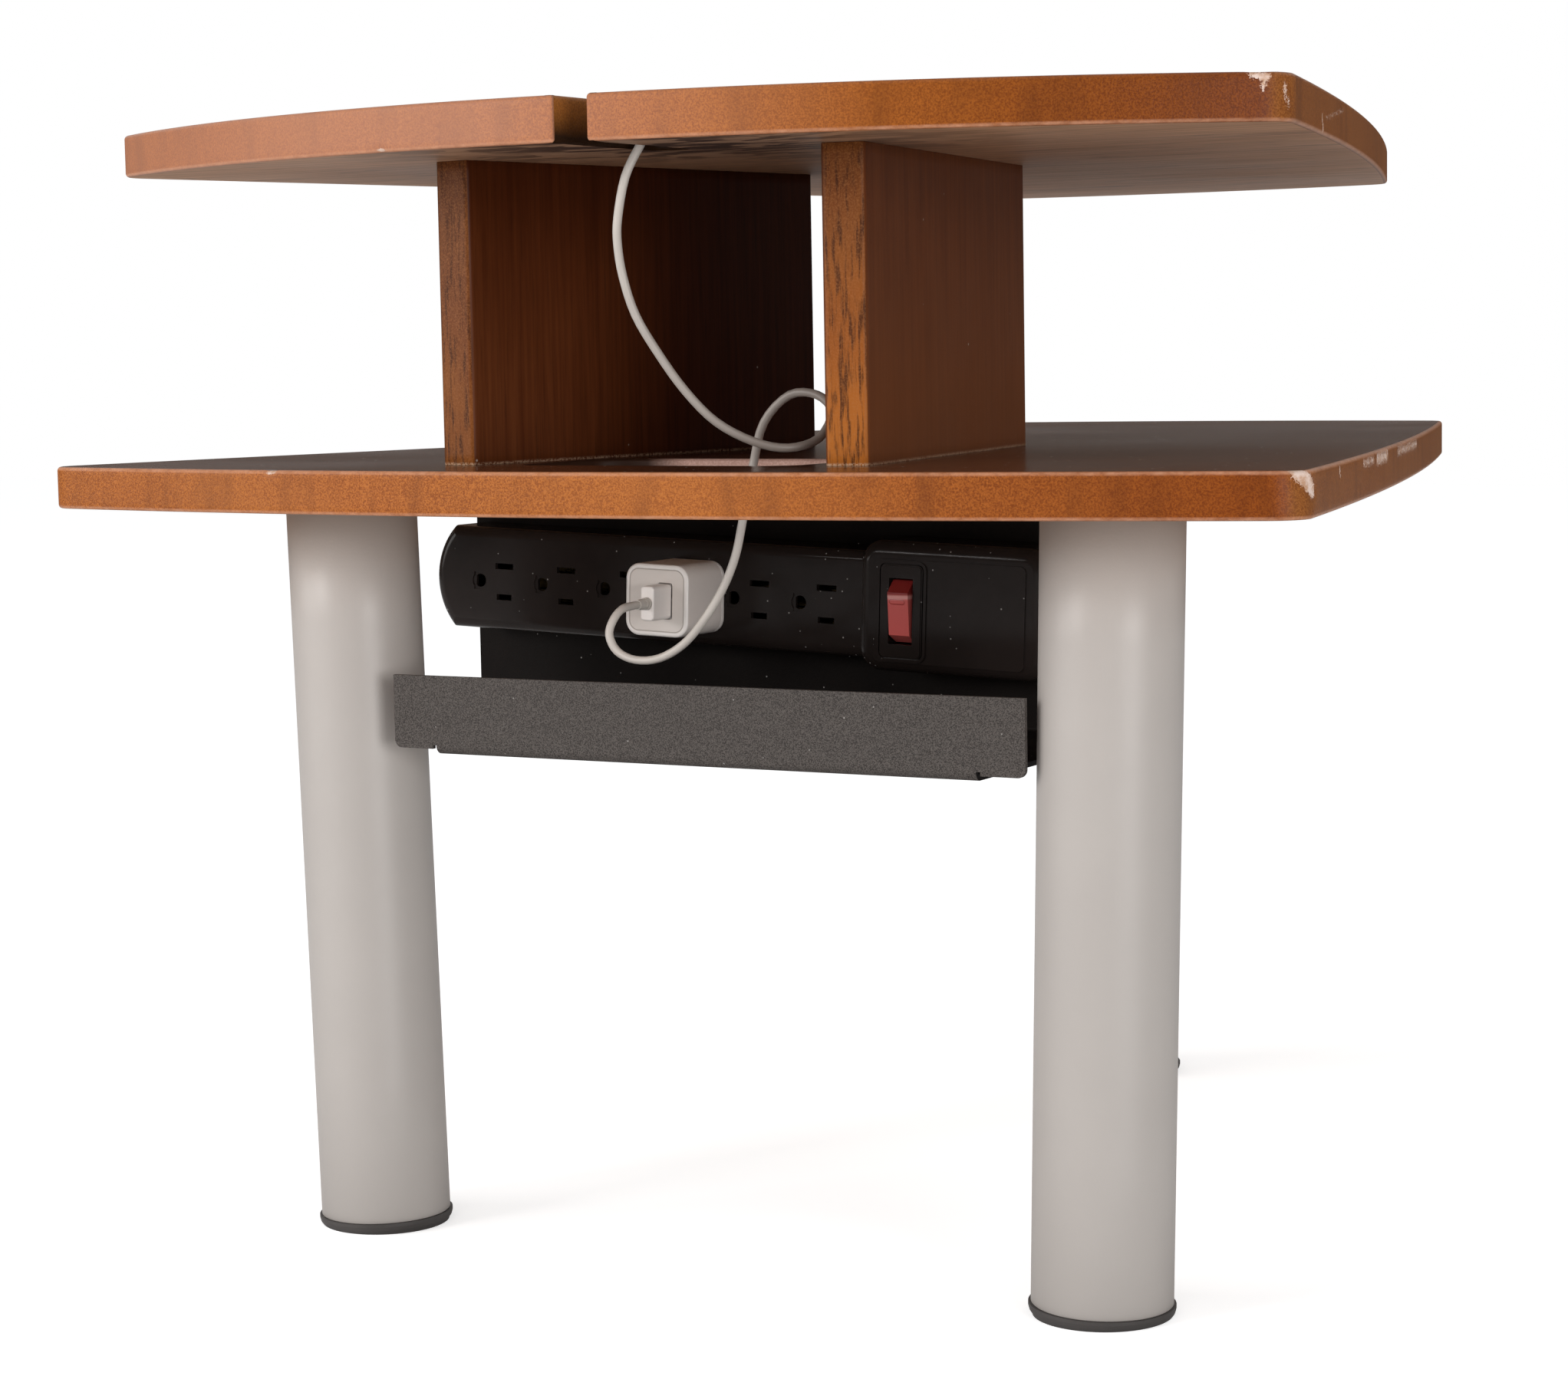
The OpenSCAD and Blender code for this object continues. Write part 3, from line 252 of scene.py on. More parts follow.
def rounded_ring(middle, width, length, radius, steps=10):
    """Rounded rectangle, run clockwise: straight runs between four quarter circles."""
    turn = np.linspace(0, np.pi / 2, steps + 1)
    rows = []
    for k, (sx, sy) in enumerate(((1, 1), (-1, 1), (-1, -1), (1, -1))):
        a = turn + k * np.pi / 2
        centre = np.array(middle) + (sx * (width / 2 - radius), sy * (length / 2 - radius))
        rows.append(centre + radius * np.column_stack((np.cos(a), np.sin(a))))
    return np.vstack(rows)[::-1]


upper_ring = with_notch(upper_ring, middle=14, width=13, end=-239)
cutout_ring = rounded_ring(middle=(0, -208), width=114, length=62, radius=12)
print("upper outline with its notch:", len(upper_ring), "points")

# %% [markdown]
# ## Slabs with worn arrises
# A slab is its outline carried up a rim profile: a short flat run under the slab, a quarter
# arc, the side, a quarter arc and a short flat run above. That grid is smooth-shaded, and the
# flat middle is filled with triangles. Dents press the nearest rim points inward by a bell
# curve, and the same bell is kept as a "wear" attribute, so that the finish can show pale raw
# wood exactly where the mesh is bruised. An "arris" attribute marks the rounded edges, where
# the finish paints a highlight line, and a "facing" attribute holds how far the rim looks to
# the right, which the finish uses to place painted shade.

# %% Rim of a slab
ARRIS_STEPS, FLAT_RUN = 5, 2


def rim_profile(thickness, arris, levels=7):
    """Insets and heights of the rim; on a quarter arc they are r(1 - sin a) and r(1 - cos a)."""
    a = np.linspace(0, np.pi / 2, ARRIS_STEPS + 1)
    low_in, low_h = arris * (1 - np.sin(a)), arris * (1 - np.cos(a))
    side = np.linspace(arris, thickness - arris, levels + 2)[1:-1]
    insets = np.hstack((arris + FLAT_RUN, low_in, 0 * side, low_in[::-1], arris + FLAT_RUN))
    return insets, np.hstack((0, low_h, side, thickness - low_h[::-1], thickness))


def outward(ring):
    """Normals of a closed ring: the step from the last point to the next, turned a quarter to the right."""
    step = np.roll(ring, -1, 0) - np.roll(ring, 1, 0)
    step /= np.linalg.norm(step, axis=1)[:, None]
    return np.column_stack((step[:, 1], -step[:, 0]))


def rim_grid(ring, base, insets, heights):
    """Grid of the rim: ring point less its normal times the inset, at each height."""
    normal = outward(ring)
    flat = ring[None] - normal[None] * insets[:, None, None]
    z = np.broadcast_to((base + heights)[:, None, None], flat.shape[:2] + (1,))
    return np.concatenate((flat, z), 2), normal


def grid_quads(rows, columns, start=0):
    """Quads of a grid that closes along its columns, facing out for a ring that runs anticlockwise."""
    k, j = np.meshgrid(np.arange(rows - 1), np.arange(columns), indexing="ij")
    n = (j + 1) % columns
    corners = (k * columns + j, k * columns + n, (k + 1) * columns + n, (k + 1) * columns + j)
    return start + np.stack(corners, -1).reshape(-1, 4)


def filled(loops, points, face_up):
    """Triangles that fill a flat region between loops of point numbers, all turned to the same side."""
    flat = [[Vector((x, y, 0)) for x, y in points[loop][:, :2].tolist()] for loop in loops]
    triangles = np.concatenate(loops)[np.array(tessellate_polygon(flat))]
    a, b, c = (points[triangles[:, k]][:, :2] for k in range(3))
    area = (b[:, 0] - a[:, 0]) * (c[:, 1] - a[:, 1]) - (b[:, 1] - a[:, 1]) * (c[:, 0] - a[:, 0])
    wrong = (area > 0) != face_up
    triangles[wrong] = triangles[wrong][:, ::-1]
    return triangles[np.abs(area) > 1e-9]


def mesh_piece(name, points, faces, smooth, materials=None):
    """Object at the origin with these points in millimetres, which rides on the table's body."""
    mesh = bpy.data.meshes.new(name)
    mesh.from_pydata((points * MM).tolist(), [], [list(f) for f in faces])
    if materials is not None:
        mesh.polygons.foreach_set("material_index", np.asarray(materials, np.int32))
    mesh.polygons.foreach_set("use_smooth", smooth)
    mesh.update()
    piece = shown(name, mesh)
    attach(piece, "table")
    return piece


# %% Slab with bruises


def bruised(points, marks):
    """Pulls points near each mark's line inwards by a bell curve of their distance; returns it as wear."""
    wear = np.zeros(len(points))
    for start, end, inside, radius, depth, strength in marks:
        run = np.subtract(end, start).astype(float)
        part = np.clip((points - start) @ run / (run @ run), 0, 1)[:, None]
        bell = np.exp(-(np.linalg.norm(points - start - part * run, axis=1) / radius) ** 2)
        pull = np.array(inside, float) - points
        points += depth * bell[:, None] * pull / np.maximum(np.linalg.norm(pull, axis=1), 1e-6)[:, None]
        wear = np.maximum(wear, strength * bell)
    return wear


def slab(name, rings, base, thickness, arris, marks):
    """Rims round each ring, filled above and below; faces are side (0), upper face (1) or underside (2)."""
    insets, heights = rim_profile(thickness, arris)
    rows, start = len(insets), 0
    points, faces, kinds, lows, highs, arrises, facings = [], [], [], [], [], [], []
    bend = np.sin(np.linspace(0, np.pi, ARRIS_STEPS + 1))
    on_arris = np.hstack((0, bend, np.zeros(rows - 2 * len(bend) - 2), bend, 0))
    for ring in rings:
        grid, normal = rim_grid(ring, base, insets, heights)
        quads = grid_quads(rows, len(ring), start)
        row = np.repeat(np.arange(rows - 1), len(ring))
        points.append(grid.reshape(-1, 3))
        arrises.append(np.repeat(on_arris, len(ring)))
        facings.append(np.tile(normal[:, 0], rows))
        faces += quads.tolist()
        kinds.append(np.where(row == 0, 2, np.where(row == rows - 2, 1, 0)))
        lows.append(start + np.arange(len(ring)))
        highs.append(start + (rows - 1) * len(ring) + np.arange(len(ring)))
        start += rows * len(ring)
    points = np.vstack(points)
    rim = len(faces)
    for loops, kind, face_up in ((lows, 2, False), (highs, 1, True)):
        cap = filled(loops, points, face_up)
        faces += cap.tolist()
        kinds.append(np.full(len(cap), kind))
    wear = bruised(points, marks)
    piece = mesh_piece(name, points, faces, np.arange(len(faces)) < rim, np.hstack(kinds))
    for label, values in (("wear", wear), ("arris", np.hstack(arrises)), ("facing", np.hstack(facings))):
        attribute = piece.data.attributes.new(label, "FLOAT", "POINT")
        attribute.data.foreach_set("value", values.astype(np.float32))
    print(name, "faces:", len(faces))
    return piece


# %% The two tops
TOP_T, TOP_ARRIS, LOWER_BASE, BOARD_H = 16, 1.5, 286, 111
LOWER_FACE = LOWER_BASE + TOP_T
UPPER_BASE = LOWER_FACE + BOARD_H
# Each mark: start and end of its line, a point inside the wood, reach, depth and strength of the wear.
UPPER_MARKS = [((230.5, -240.2, 428.5), (234.5, -237.5, 427.5), (228, -234, 420), 2.1, 0.35, 0.72),
               ((233.3, -238.4, 426), (233.6, -238.2, 423.5), (228, -234, 420), 1.7, 0.2, 0.62),
               ((238.3, -232, 425), (238.8, -230.6, 418), (232, -226, 420), 1.7, 0.15, 0.60),
               ((223.1, -155.6, 419), (222.6, -153.7, 414.5), (216, -155, 417), 1.2, 0.1, 0.9),
               ((220.8, -145.9, 419), (206, -85, 425.5), (205, -110, 420), 1.9, 0.1, 0.44),
               ((-68, -303.6, 413), (-66, -303.9, 413), (-67, -298, 419), 1.5, 0.7, 1.0)]
LOWER_MARKS = [((253.5, -262, 302), (256.2, -253, 295), (248, -252, 295), 3.2, 0.9, 1.0),
               ((241, -272.5, 302), (249, -267.5, 302), (242, -262, 296), 1.8, 0.7, 0.55),
               ((-133, -287.2, 302), (-131, -287.4, 302), (-132, -282, 296), 1.6, 0.7, 1.0),
               ((244.5, -197, 300), (244, -195.5, 297), (238, -196, 298), 1.2, 0.1, 0.9),
               ((230.9, -136.1, 299), (223.9, -104.9, 299), (222, -120, 296), 3.2, 0.15, 0.50),
               ((221.7, -95.1, 299), (213.5, -60, 299), (212, -78, 296), 4.2, 0.15, 0.56),
               ((204.2, -21.1, 299), (182.3, 66.4, 299), (188, 20, 296), 3.8, 0.15, 0.50)]
upper_top = slab("upper_shelf", [upper_ring], UPPER_BASE, TOP_T, TOP_ARRIS, UPPER_MARKS)
lower_top = slab("lower_shelf", [lower_ring, cutout_ring], LOWER_BASE, TOP_T, TOP_ARRIS, LOWER_MARKS)
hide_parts("upper_top")
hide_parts("lower_top")


def inner_walls(top, low, high):
    """Gives the rim faces whose middles lie between two corners, in millimetres, the fourth material."""
    count = len(top.data.polygons)
    middles, kind = np.zeros(3 * count), np.zeros(count, np.int32)
    top.data.polygons.foreach_get("center", middles)
    top.data.polygons.foreach_get("material_index", kind)
    flat = middles.reshape(-1, 3)[:, :2] / MM
    inner = (kind == 0) & (flat > low).all(1) & (flat < high).all(1)
    top.data.polygons.foreach_set("material_index", np.where(inner, 3, kind).astype(np.int32))
    print(top.name, "inner wall faces:", int(inner.sum()))


inner_walls(upper_top, low=(5.4, -307.9), high=(22.6, -200))
inner_walls(lower_top, low=(-60, -242), high=(60, -174))

# %% [markdown]
# ## The standing boards
# Two boards stand between the tops and turn inward to the back. A board is a rounded
# rectangle carried straight up, with hardly any arris where it meets the tops. Its narrow
# front edge and its wide faces get different finishes, so each side quad is sorted by the
# direction that it faces.

# %% Boards
BOARD_T, BOARD_L, BOARD_TURN, BOARD_CORNER = 16, 205, math.radians(9.5), (73, -242)
BOARD_POINTS, BOARD_LEVELS, BOARD_ARRIS, BOARD_EDGE_R = 620, 28, 0.2, 2


def resampled(ring, count):
    """Points at equal steps of length along a closed ring, read off its running length."""
    closed = np.vstack((ring, ring[:1]))
    run = np.hstack((0, np.cumsum(np.linalg.norm(np.diff(closed, axis=0), axis=1))))
    steps = np.linspace(0, run[-1], count, endpoint=False)
    return np.column_stack((np.interp(steps, run, closed[:, 0]), np.interp(steps, run, closed[:, 1])))


def standing_board(name, side):
    """Rounded rectangle, turned about its inner front corner, carried up and mirrored for the left side."""
    ring = rounded_ring((BOARD_T / 2, BOARD_L / 2), BOARD_T, BOARD_L, BOARD_EDGE_R, steps=12)[::-1]
    ring = resampled(ring, BOARD_POINTS)
    narrow = np.abs(outward(ring)[:, 1]) > 0.75
    cos, sin = math.cos(BOARD_TURN), math.sin(BOARD_TURN)
    plan = np.column_stack((BOARD_CORNER[0] + ring[:, 0] * cos - ring[:, 1] * sin,
                            BOARD_CORNER[1] + ring[:, 0] * sin + ring[:, 1] * cos))
    if side < 0:
        plan, narrow = (plan * (-1, 1))[::-1], narrow[::-1]
    low_in = (BOARD_ARRIS + FLAT_RUN, BOARD_ARRIS)
    insets = np.hstack((low_in, np.zeros(BOARD_LEVELS), low_in[::-1]))
    levels = np.linspace(BOARD_ARRIS, BOARD_H - BOARD_ARRIS, BOARD_LEVELS)
    grid, _ = rim_grid(plan, LOWER_FACE, insets, np.hstack((0, 0, levels, BOARD_H, BOARD_H)))
    points = grid.reshape(-1, 3)
    rows = len(insets)
    faces = grid_quads(rows, len(plan)).tolist()
    kinds = np.tile(np.where(narrow, 1, 0), rows - 1)
    rim = len(faces)
    for first, face_up in ((0, False), ((rows - 1) * len(plan), True)):
        faces += filled([first + np.arange(len(plan))], points, face_up).tolist()
    kinds = np.hstack((kinds, np.zeros(len(faces) - rim, int)))
    piece = mesh_piece(name, points, faces, np.arange(len(faces)) < rim, kinds)
    print(name, "faces:", len(faces))
    return piece


left_board, right_board = standing_board("board_left", -1), standing_board("board_right", 1)
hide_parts("left_board")
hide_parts("right_board")

# %% [markdown]
# ## Legs
# A leg is a tube with a slight lean, so it is a profile carried round an axis, as on a lathe.
# Its foot end is square to the lean, but its head is cut level under the top. On each ring the
# level cut is where the leaning line reaches that height, so the last rows take their length
# along the axis from their own place on the circle. The feet stay CAD nodes.

# %% Leg tubes


def lathe(name, profile, foot, lean, level, segments=96):
    """Carries (radius, height) pairs round a leaning axis; rows above the level slide down to it."""
    lean = math.radians(lean)
    axis = np.array([math.sin(lean), 0, math.cos(lean)])
    side = np.array([math.cos(lean), 0, -math.sin(lean)])
    a = np.linspace(0, 2 * np.pi, segments, endpoint=False)
    r, h = (np.array(column, float)[:, None] for column in zip(*profile))
    ring = np.cos(a)[None, :, None] * side + np.sin(a)[None, :, None] * np.array([0, 1, 0])
    h = np.minimum(h, (level - foot[2] - r * ring[0, :, 2]) / axis[2])
    points = np.array(foot, float) + r[..., None] * ring + h[..., None] * axis
    rows = len(profile)
    faces = grid_quads(rows + 1, segments) % (rows * segments)
    step = np.abs(np.array(profile) - np.roll(profile, -1, 0))
    smooth = np.repeat(step[:, 1] > step[:, 0] / 2, segments)
    return mesh_piece(name, points.reshape(-1, 3), faces.tolist(), smooth)


# Each leg: middle of its foot and lean in degrees. The tube's profile is radius and height along the axis.
LEGS = {"front_left_leg": ((-155, -197, 0), -1.35), "front_right_leg": ((155, -197, 0), 1.35),
        "rear_leg": ((0, 183, 0), 0)}
TUBE_R, BORE_R, TUBE_LOW, TUBE_HIGH, END_ROUND = 25.4, 23.9, 4.0, 290, 0.4
TUBE = [(TUBE_R, TUBE_LOW + END_ROUND), *((TUBE_R, z) for z in (60, 120, 180, 240, TUBE_HIGH)),
        *((BORE_R, z) for z in (TUBE_HIGH, 120, TUBE_LOW)), (TUBE_R - END_ROUND, TUBE_LOW)]
legs = []
for node_name, (foot, lean) in LEGS.items():
    leg = lathe(node_name + "_tube", TUBE, foot, lean, LOWER_BASE)
    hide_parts(node_name)
    legs.append(leg)
print("legs:", [leg.name for leg in legs])

# %% [markdown]
# ## Softened copies of the hard parts
# A CAD node can stay as it is and only get a finish. Moulded plastic and bent sheet look
# better with a small rounded arris, so these parts are merged copies of their nodes: the
# coplanar triangles are joined, a Bevel rounds each sharp edge, and area-weighted normals keep
# the flat faces flat. The copy replaces its node and lies exactly where it was.

# %% Softened parts
MERGE, FLAT = 2e-6, math.radians(0.4)


def softened(node_name, name, width, body="table", angle=34):
    """Merged copy of a CAD node with rounded arrises of this width in millimetres."""
    source = nodes[node_name]
    shape = bmesh.new()
    shape.from_mesh(source.data)
    bmesh.ops.remove_doubles(shape, verts=shape.verts, dist=MERGE)
    bmesh.ops.dissolve_limit(shape, angle_limit=FLAT, verts=shape.verts, edges=shape.edges)
    for face in shape.faces:
        face.smooth = True
    mesh = bpy.data.meshes.new(name)
    shape.to_mesh(mesh)
    shape.free()
    if "custom_normal" in mesh.attributes:
        mesh.attributes.remove(mesh.attributes["custom_normal"])
    piece = shown(name, mesh)
    rounding = piece.modifiers.new("rounding", "BEVEL")
    rounding.width, rounding.segments, rounding.limit_method = width * MM, 2, "ANGLE"
    rounding.angle_limit = math.radians(angle)
    piece.modifiers.new("normals", "WEIGHTED_NORMAL")
    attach(piece, body)
    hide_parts(node_name)
    slot_name = source.material_slots[0].name
    piece["finish"] = slot_name
    return piece


# Each part: CAD node, name of the copy and width of its arrises in millimetres.
SOFTENED = [("cable_tray", "tray_sheet", 0.35), ("strip_front_shell", "strip_shell", 0.3),
            ("switch_bezel", "switch_frame", 0.3), ("strip_back_cover", "strip_cover", 0.3),
            ("adapter_shell", "charger_shell", 0.35), ("adapter_back", "charger_back", 0.3),
            ("usb_plug_grip", "plug_grip", 0.5), ("connector_grip", "connector_body", 0.5),
            ("cord_tie", "lead_tie", 0.2)]
soft_parts = {name: softened(node_name, name, width) for node_name, name, width in SOFTENED}
soft_parts["switch_rocker"] = softened("rocker", "switch_rocker", width=0.5, body="rocker", angle=20)
print("softened:", {name: len(piece.data.polygons) for name, piece in soft_parts.items()})

# %% [markdown]

# %% [markdown]
# ## Shader tools
# A procedural finish is a small network of nodes. Placing them by hand is fine for one
# material, but this table has more than a dozen, so short helpers add a node, link it and hand
# back its output. A socket knows the tree that it lies in, so most helpers need no tree. Tones
# are plain triples of red, green and blue, and one helper gives them their alpha.

# %% Node helpers


def add(tree, kind, inputs=(), **settings):
    """Adds a shader node: a plain value is set on its socket, and another node's output is linked to it."""
    made = tree.nodes.new("ShaderNode" + kind)
    for field, value in settings.items():
        setattr(made, field, value)
    for socket, value in dict(inputs).items():
        if isinstance(value, bpy.types.NodeSocket):
            tree.links.new(value, made.inputs[socket])
        else:
            made.inputs[socket].default_value = value
    return made


def linked(kind, inputs, output=0, **settings):
    """One output of a node that is added to the tree of the first socket among its inputs."""
    first = next(value for value in inputs.values() if isinstance(value, bpy.types.NodeSocket))
    return add(first.id_data, kind, inputs, **settings).outputs[output]


def maths(operation, a, b=0.0):
    return linked("Math", {0: a, 1: b}, operation=operation)


def vectors(operation, a, b=(0, 0, 0), output=0):
    return linked("VectorMath", {0: a, 1: b}, output, operation=operation)


def times(product, *factors):
    """Product of the values, with a Multiply node for each further factor."""
    for factor in factors:
        product = maths("MULTIPLY", product, factor)
    return product


def remap(value, low, high, to_low=0.0, to_high=1.0):
    return linked("MapRange", {0: value, 1: low, 2: high, 3: to_low, 4: to_high})


def mixed(amount, low, high, blend="MIX"):
    """Blend of two colours, each a socket or a triple."""
    low, high = ((*tone, 1.0) if isinstance(tone, tuple) else tone for tone in (low, high))
    return linked("Mix", {0: amount, 6: low, 7: high}, 2, data_type="RGBA", blend_type=blend)


def toned(value, low, high, dark, light):
    """The dark tone where the value is low, the light one where it is high, and a mixture between."""
    return mixed(remap(value, low, high), dark, light)


def laid(colour, tone, *amounts):
    """The tone over the colour, as strong as the product of the amounts."""
    return mixed(times(*amounts), colour, tone)


def tinted(colour, tone, *amounts):
    """The colour multiplied by the tone, as strongly as the product of the amounts."""
    return mixed(times(*amounts), colour, tone, "MULTIPLY")


def stretched(place, factors):
    return vectors("MULTIPLY", place, factors)


def noise(place, scale, detail=2.0, roughness=0.5, distortion=0.0):
    return linked("TexNoise", {"Vector": place, "Scale": scale, "Detail": detail, "Roughness": roughness,
                               "Distortion": distortion})


def axes(place):
    """The x, y and z of a place."""
    return add(place.id_data, "SeparateXYZ", {0: place}).outputs


def from_mesh(place, name):
    """The value that the mesh holds on its points under this name."""
    return add(place.id_data, "Attribute", attribute_name=name).outputs["Fac"]


# %% Groups and materials


def effect(name, defaults, outputs, build):
    """Node group from a place and these inputs; a triple makes a vector input, a number a plain one."""
    tree = bpy.data.node_groups.new(name, "ShaderNodeTree")
    tree.interface.new_socket("Vector", in_out="INPUT", socket_type="NodeSocketVector")
    for socket, value in defaults.items():
        kind = "NodeSocketVector" if isinstance(value, tuple) else "NodeSocketFloat"
        tree.interface.new_socket(socket, in_out="INPUT", socket_type=kind).default_value = value
    for socket in outputs:
        tree.interface.new_socket(socket, in_out="OUTPUT", socket_type="NodeSocketFloat")
    entry, end = tree.nodes.new("NodeGroupInput"), tree.nodes.new("NodeGroupOutput")
    for socket, value in build(entry.outputs).items():
        tree.links.new(value, end.inputs[socket])
    return tree


def placed(group, place, *values):
    """Outputs of a node group in a material, with its own values in the order of the group's inputs."""
    return add(place.id_data, "Group", dict(enumerate((place, *values))), node_tree=group).outputs


def surface(colour, height, strength, depth=0.0002, **links):
    """Links of a finish: its colour, and a bump of this height, strength and depth in metres."""
    bump = linked("Bump", {"Height": height, "Strength": strength, "Distance": depth})
    return {"Base Color": colour, "Normal": bump, **links}


def finish(name, build, **constants):
    """Material whose constants are set straight on the Principled shader and whose build gives the links."""
    material = bpy.data.materials.new(name)
    material.use_nodes = True
    tree = material.node_tree
    shader = tree.nodes["Principled BSDF"]
    for socket, value in constants.items():
        shader.inputs[socket.replace("_", " ")].default_value = value
    for socket, value in build(add(tree, "TexCoord").outputs["Object"]).items():
        tree.links.new(value, shader.inputs[socket])
    return material


# %% [markdown]
# ## Wood figure, specks and scuffs
# Stained beech-like wood shows three things at once: long streaks, short open pores and a fine
# speckle, over a slow mottle. All are noise, stretched along the grain by a vector that each
# material sets for itself. Dust specks are rare cells of a Voronoi pattern, and scuffs are a
# thin slice of a stretched noise. As groups they are built once and shared.

# %% Shared effects


def wood_figure(given):
    """Noise at three stretches: streaks, pores from its upper tail, isotropic speckle and slow mottle."""
    along = stretched(given["Vector"], given["Grain"])
    return {"Streaks": noise(along, 1.0, 5.0, 0.62),
            "Pores": remap(noise(along, 2.6), 0.60, 0.72),
            "Speckle": noise(given["Vector"], given["Speckle Scale"], 3.0, 0.7),
            "Mottle": noise(given["Vector"], given["Mottle Scale"], 3.0)}


def dust_specks(given):
    """Speck where a cell's point is near, in the few cells whose random value is under the share."""
    place = given["Vector"]
    cells = add(place.id_data, "TexVoronoi", {"Vector": place, "Scale": given["Scale"]}).outputs
    near = remap(cells["Distance"], 0.06, given["Size"], 1.0, 0.0)
    chance = linked("SeparateColor", {0: cells["Color"]})
    return {"Mask": times(near, maths("LESS_THAN", chance, given["Share"]))}


def scuff_lines(given):
    """Thin slice around the middle of a stretched noise, kept where a slow noise is high."""
    lines = noise(stretched(given["Vector"], given["Stretch"]), 1.0, 1.0, 0.4)
    middle = remap(maths("ABSOLUTE", maths("SUBTRACT", lines, 0.5)), 0.0, 0.012, 1.0, 0.0)
    return {"Mask": times(middle, remap(noise(given["Vector"], given["Patch Scale"]), 0.56, 0.66))}


figure = effect("wood figure", {"Grain": (20, 500, 500), "Speckle Scale": 1300.0, "Mottle Scale": 14.0},
                ("Streaks", "Pores", "Speckle", "Mottle"), wood_figure)
specks = effect("dust specks", {"Scale": 300.0, "Size": 0.16, "Share": 0.05}, ("Mask",), dust_specks)
scuffs = effect("scuff lines", {"Stretch": (30, 400, 400), "Patch Scale": 30.0}, ("Mask",), scuff_lines)
print("groups:", [group.name for group in (figure, specks, scuffs)])

# %% [markdown]
# ## Stained wood of the tops
# The tops are one piece of wood with three looks. Their edges are sanded end and side grain
# with an orange-brown stain, a fine speckle and soft darker bands. Their upper faces are dark
# under a satin lacquer, which mirrors what stands on them at a low angle, and the undersides
# are the same wood with a duller coat. The wear attribute lets raw wood through. Heights and
# places in a finish are in metres, as object coordinates are.

# %% Finish of the tops' edges
SANDED = (260, 260, 420)
UPPER_TOP_Z = 0.405, 0.412
UPPER_ARRIS_Z = 0.4250, 0.4270


def edge_wood(place):
    """Orange stain: speckle of two tones, leaning bands and raw wood where worn, under painted light: shade
    on the right, a pale glare near the notch and a highlight along the arrises.
    """
    x, _, z = axes(place)
    grain = placed(figure, place, SANDED, 1500.0, 9.0)
    colour = toned(grain["Speckle"], 0.40, 0.60, (0.205, 0.052, 0.0085), (0.385, 0.122, 0.022))
    leaning = linked("Mapping", {"Vector": place, "Rotation": (0.0, 0.5, 0.3), "Scale": (85, 85, 22)})
    bands = remap(noise(leaning, 1.0, 3.0, 0.55), 0.50, 0.70)
    colour = laid(colour, (0.135, 0.036, 0.008), bands, 0.45)
    colour = laid(colour, (0.42, 0.150, 0.035), remap(grain["Mottle"], 0.40, 0.70, 0.0, 0.25))
    on_side = remap(from_mesh(place, "facing"), 0.62, 0.80)
    on_front = times(remap(x, 0.05, 0.24), maths("SUBTRACT", 1.0, on_side))
    on_upper = remap(z, *UPPER_TOP_Z)
    # Painted shade: the front edge darkens and grows more orange towards its right end, and the side faces go
    # darker and bluer, as shade with a faint sheen.
    colour = tinted(colour, (0.58, 0.43, 0.20), on_front)
    colour = tinted(colour, (0.70, 0.76, 0.90), on_side)
    colour = tinted(colour, (0.76, 0.70, 0.22), on_front, on_upper)
    # Painted glare: a pale pink veil on the upper top's edge, strongest from the left up to the notch and
    # gone by the right end.
    colour = laid(colour, (0.46, 0.260, 0.205), on_upper, remap(x, -0.02, 0.12, 0.32, 0.0))
    # Painted highlight: a pale line along the arrises, faint on the upper top's upper arris.
    painted_arris_highlight = times(from_mesh(place, "arris"), remap(grain["Streaks"], 0.30, 0.70, 0.25, 0.75))
    colour = laid(colour, (0.58, 0.30, 0.185), painted_arris_highlight, remap(z, *UPPER_ARRIS_Z, 1.0, 0.1))
    raw = remap(maths("ADD", from_mesh(place, "wear"), grain["Speckle"]), 0.92, 1.02)
    colour = laid(colour, toned(grain["Streaks"], 0.40, 0.62, (0.68, 0.54, 0.47), (0.46, 0.27, 0.17)), raw)
    height = maths("ADD", grain["Speckle"], times(grain["Streaks"], 0.6))
    return surface(colour, height, 0.35, 0.0003, Roughness=remap(raw, 0, 1, 0.37, 0.8))


top_edge = finish("stained top edge", edge_wood, Specular_IOR_Level=0.12)
print("nodes of the edge:", len(top_edge.node_tree.nodes))

# %% Finishes of the upper faces and the undersides
DARK_PATCH_MIDDLE, DARK_PATCH_REACH = (0.024, -0.262, 0), (0.035, 0.135)


def lacquered_wood(place):
    """Dark stain with streaks along the width, under a satin coat with sparse dust."""
    grain = placed(figure, place, (9, 260, 260), 900.0, 7.0)
    colour = toned(grain["Streaks"], 0.36, 0.64, (0.050, 0.019, 0.010), (0.115, 0.043, 0.020))
    colour = laid(colour, (0.020, 0.009, 0.006), grain["Pores"], 0.6)
    dust = placed(specks, place, 260.0, 0.14, 0.10)["Mask"]
    colour = laid(colour, (0.55, 0.53, 0.50), dust, 0.7)
    colour = laid(colour, (0.60, 0.46, 0.34), remap(from_mesh(place, "wear"), 0.35, 0.5))
    rough = remap(grain["Mottle"], 0.3, 0.7, 0.15, 0.24)
    return surface(colour, grain["Streaks"], 0.05, Roughness=maths("MAXIMUM", rough, dust))


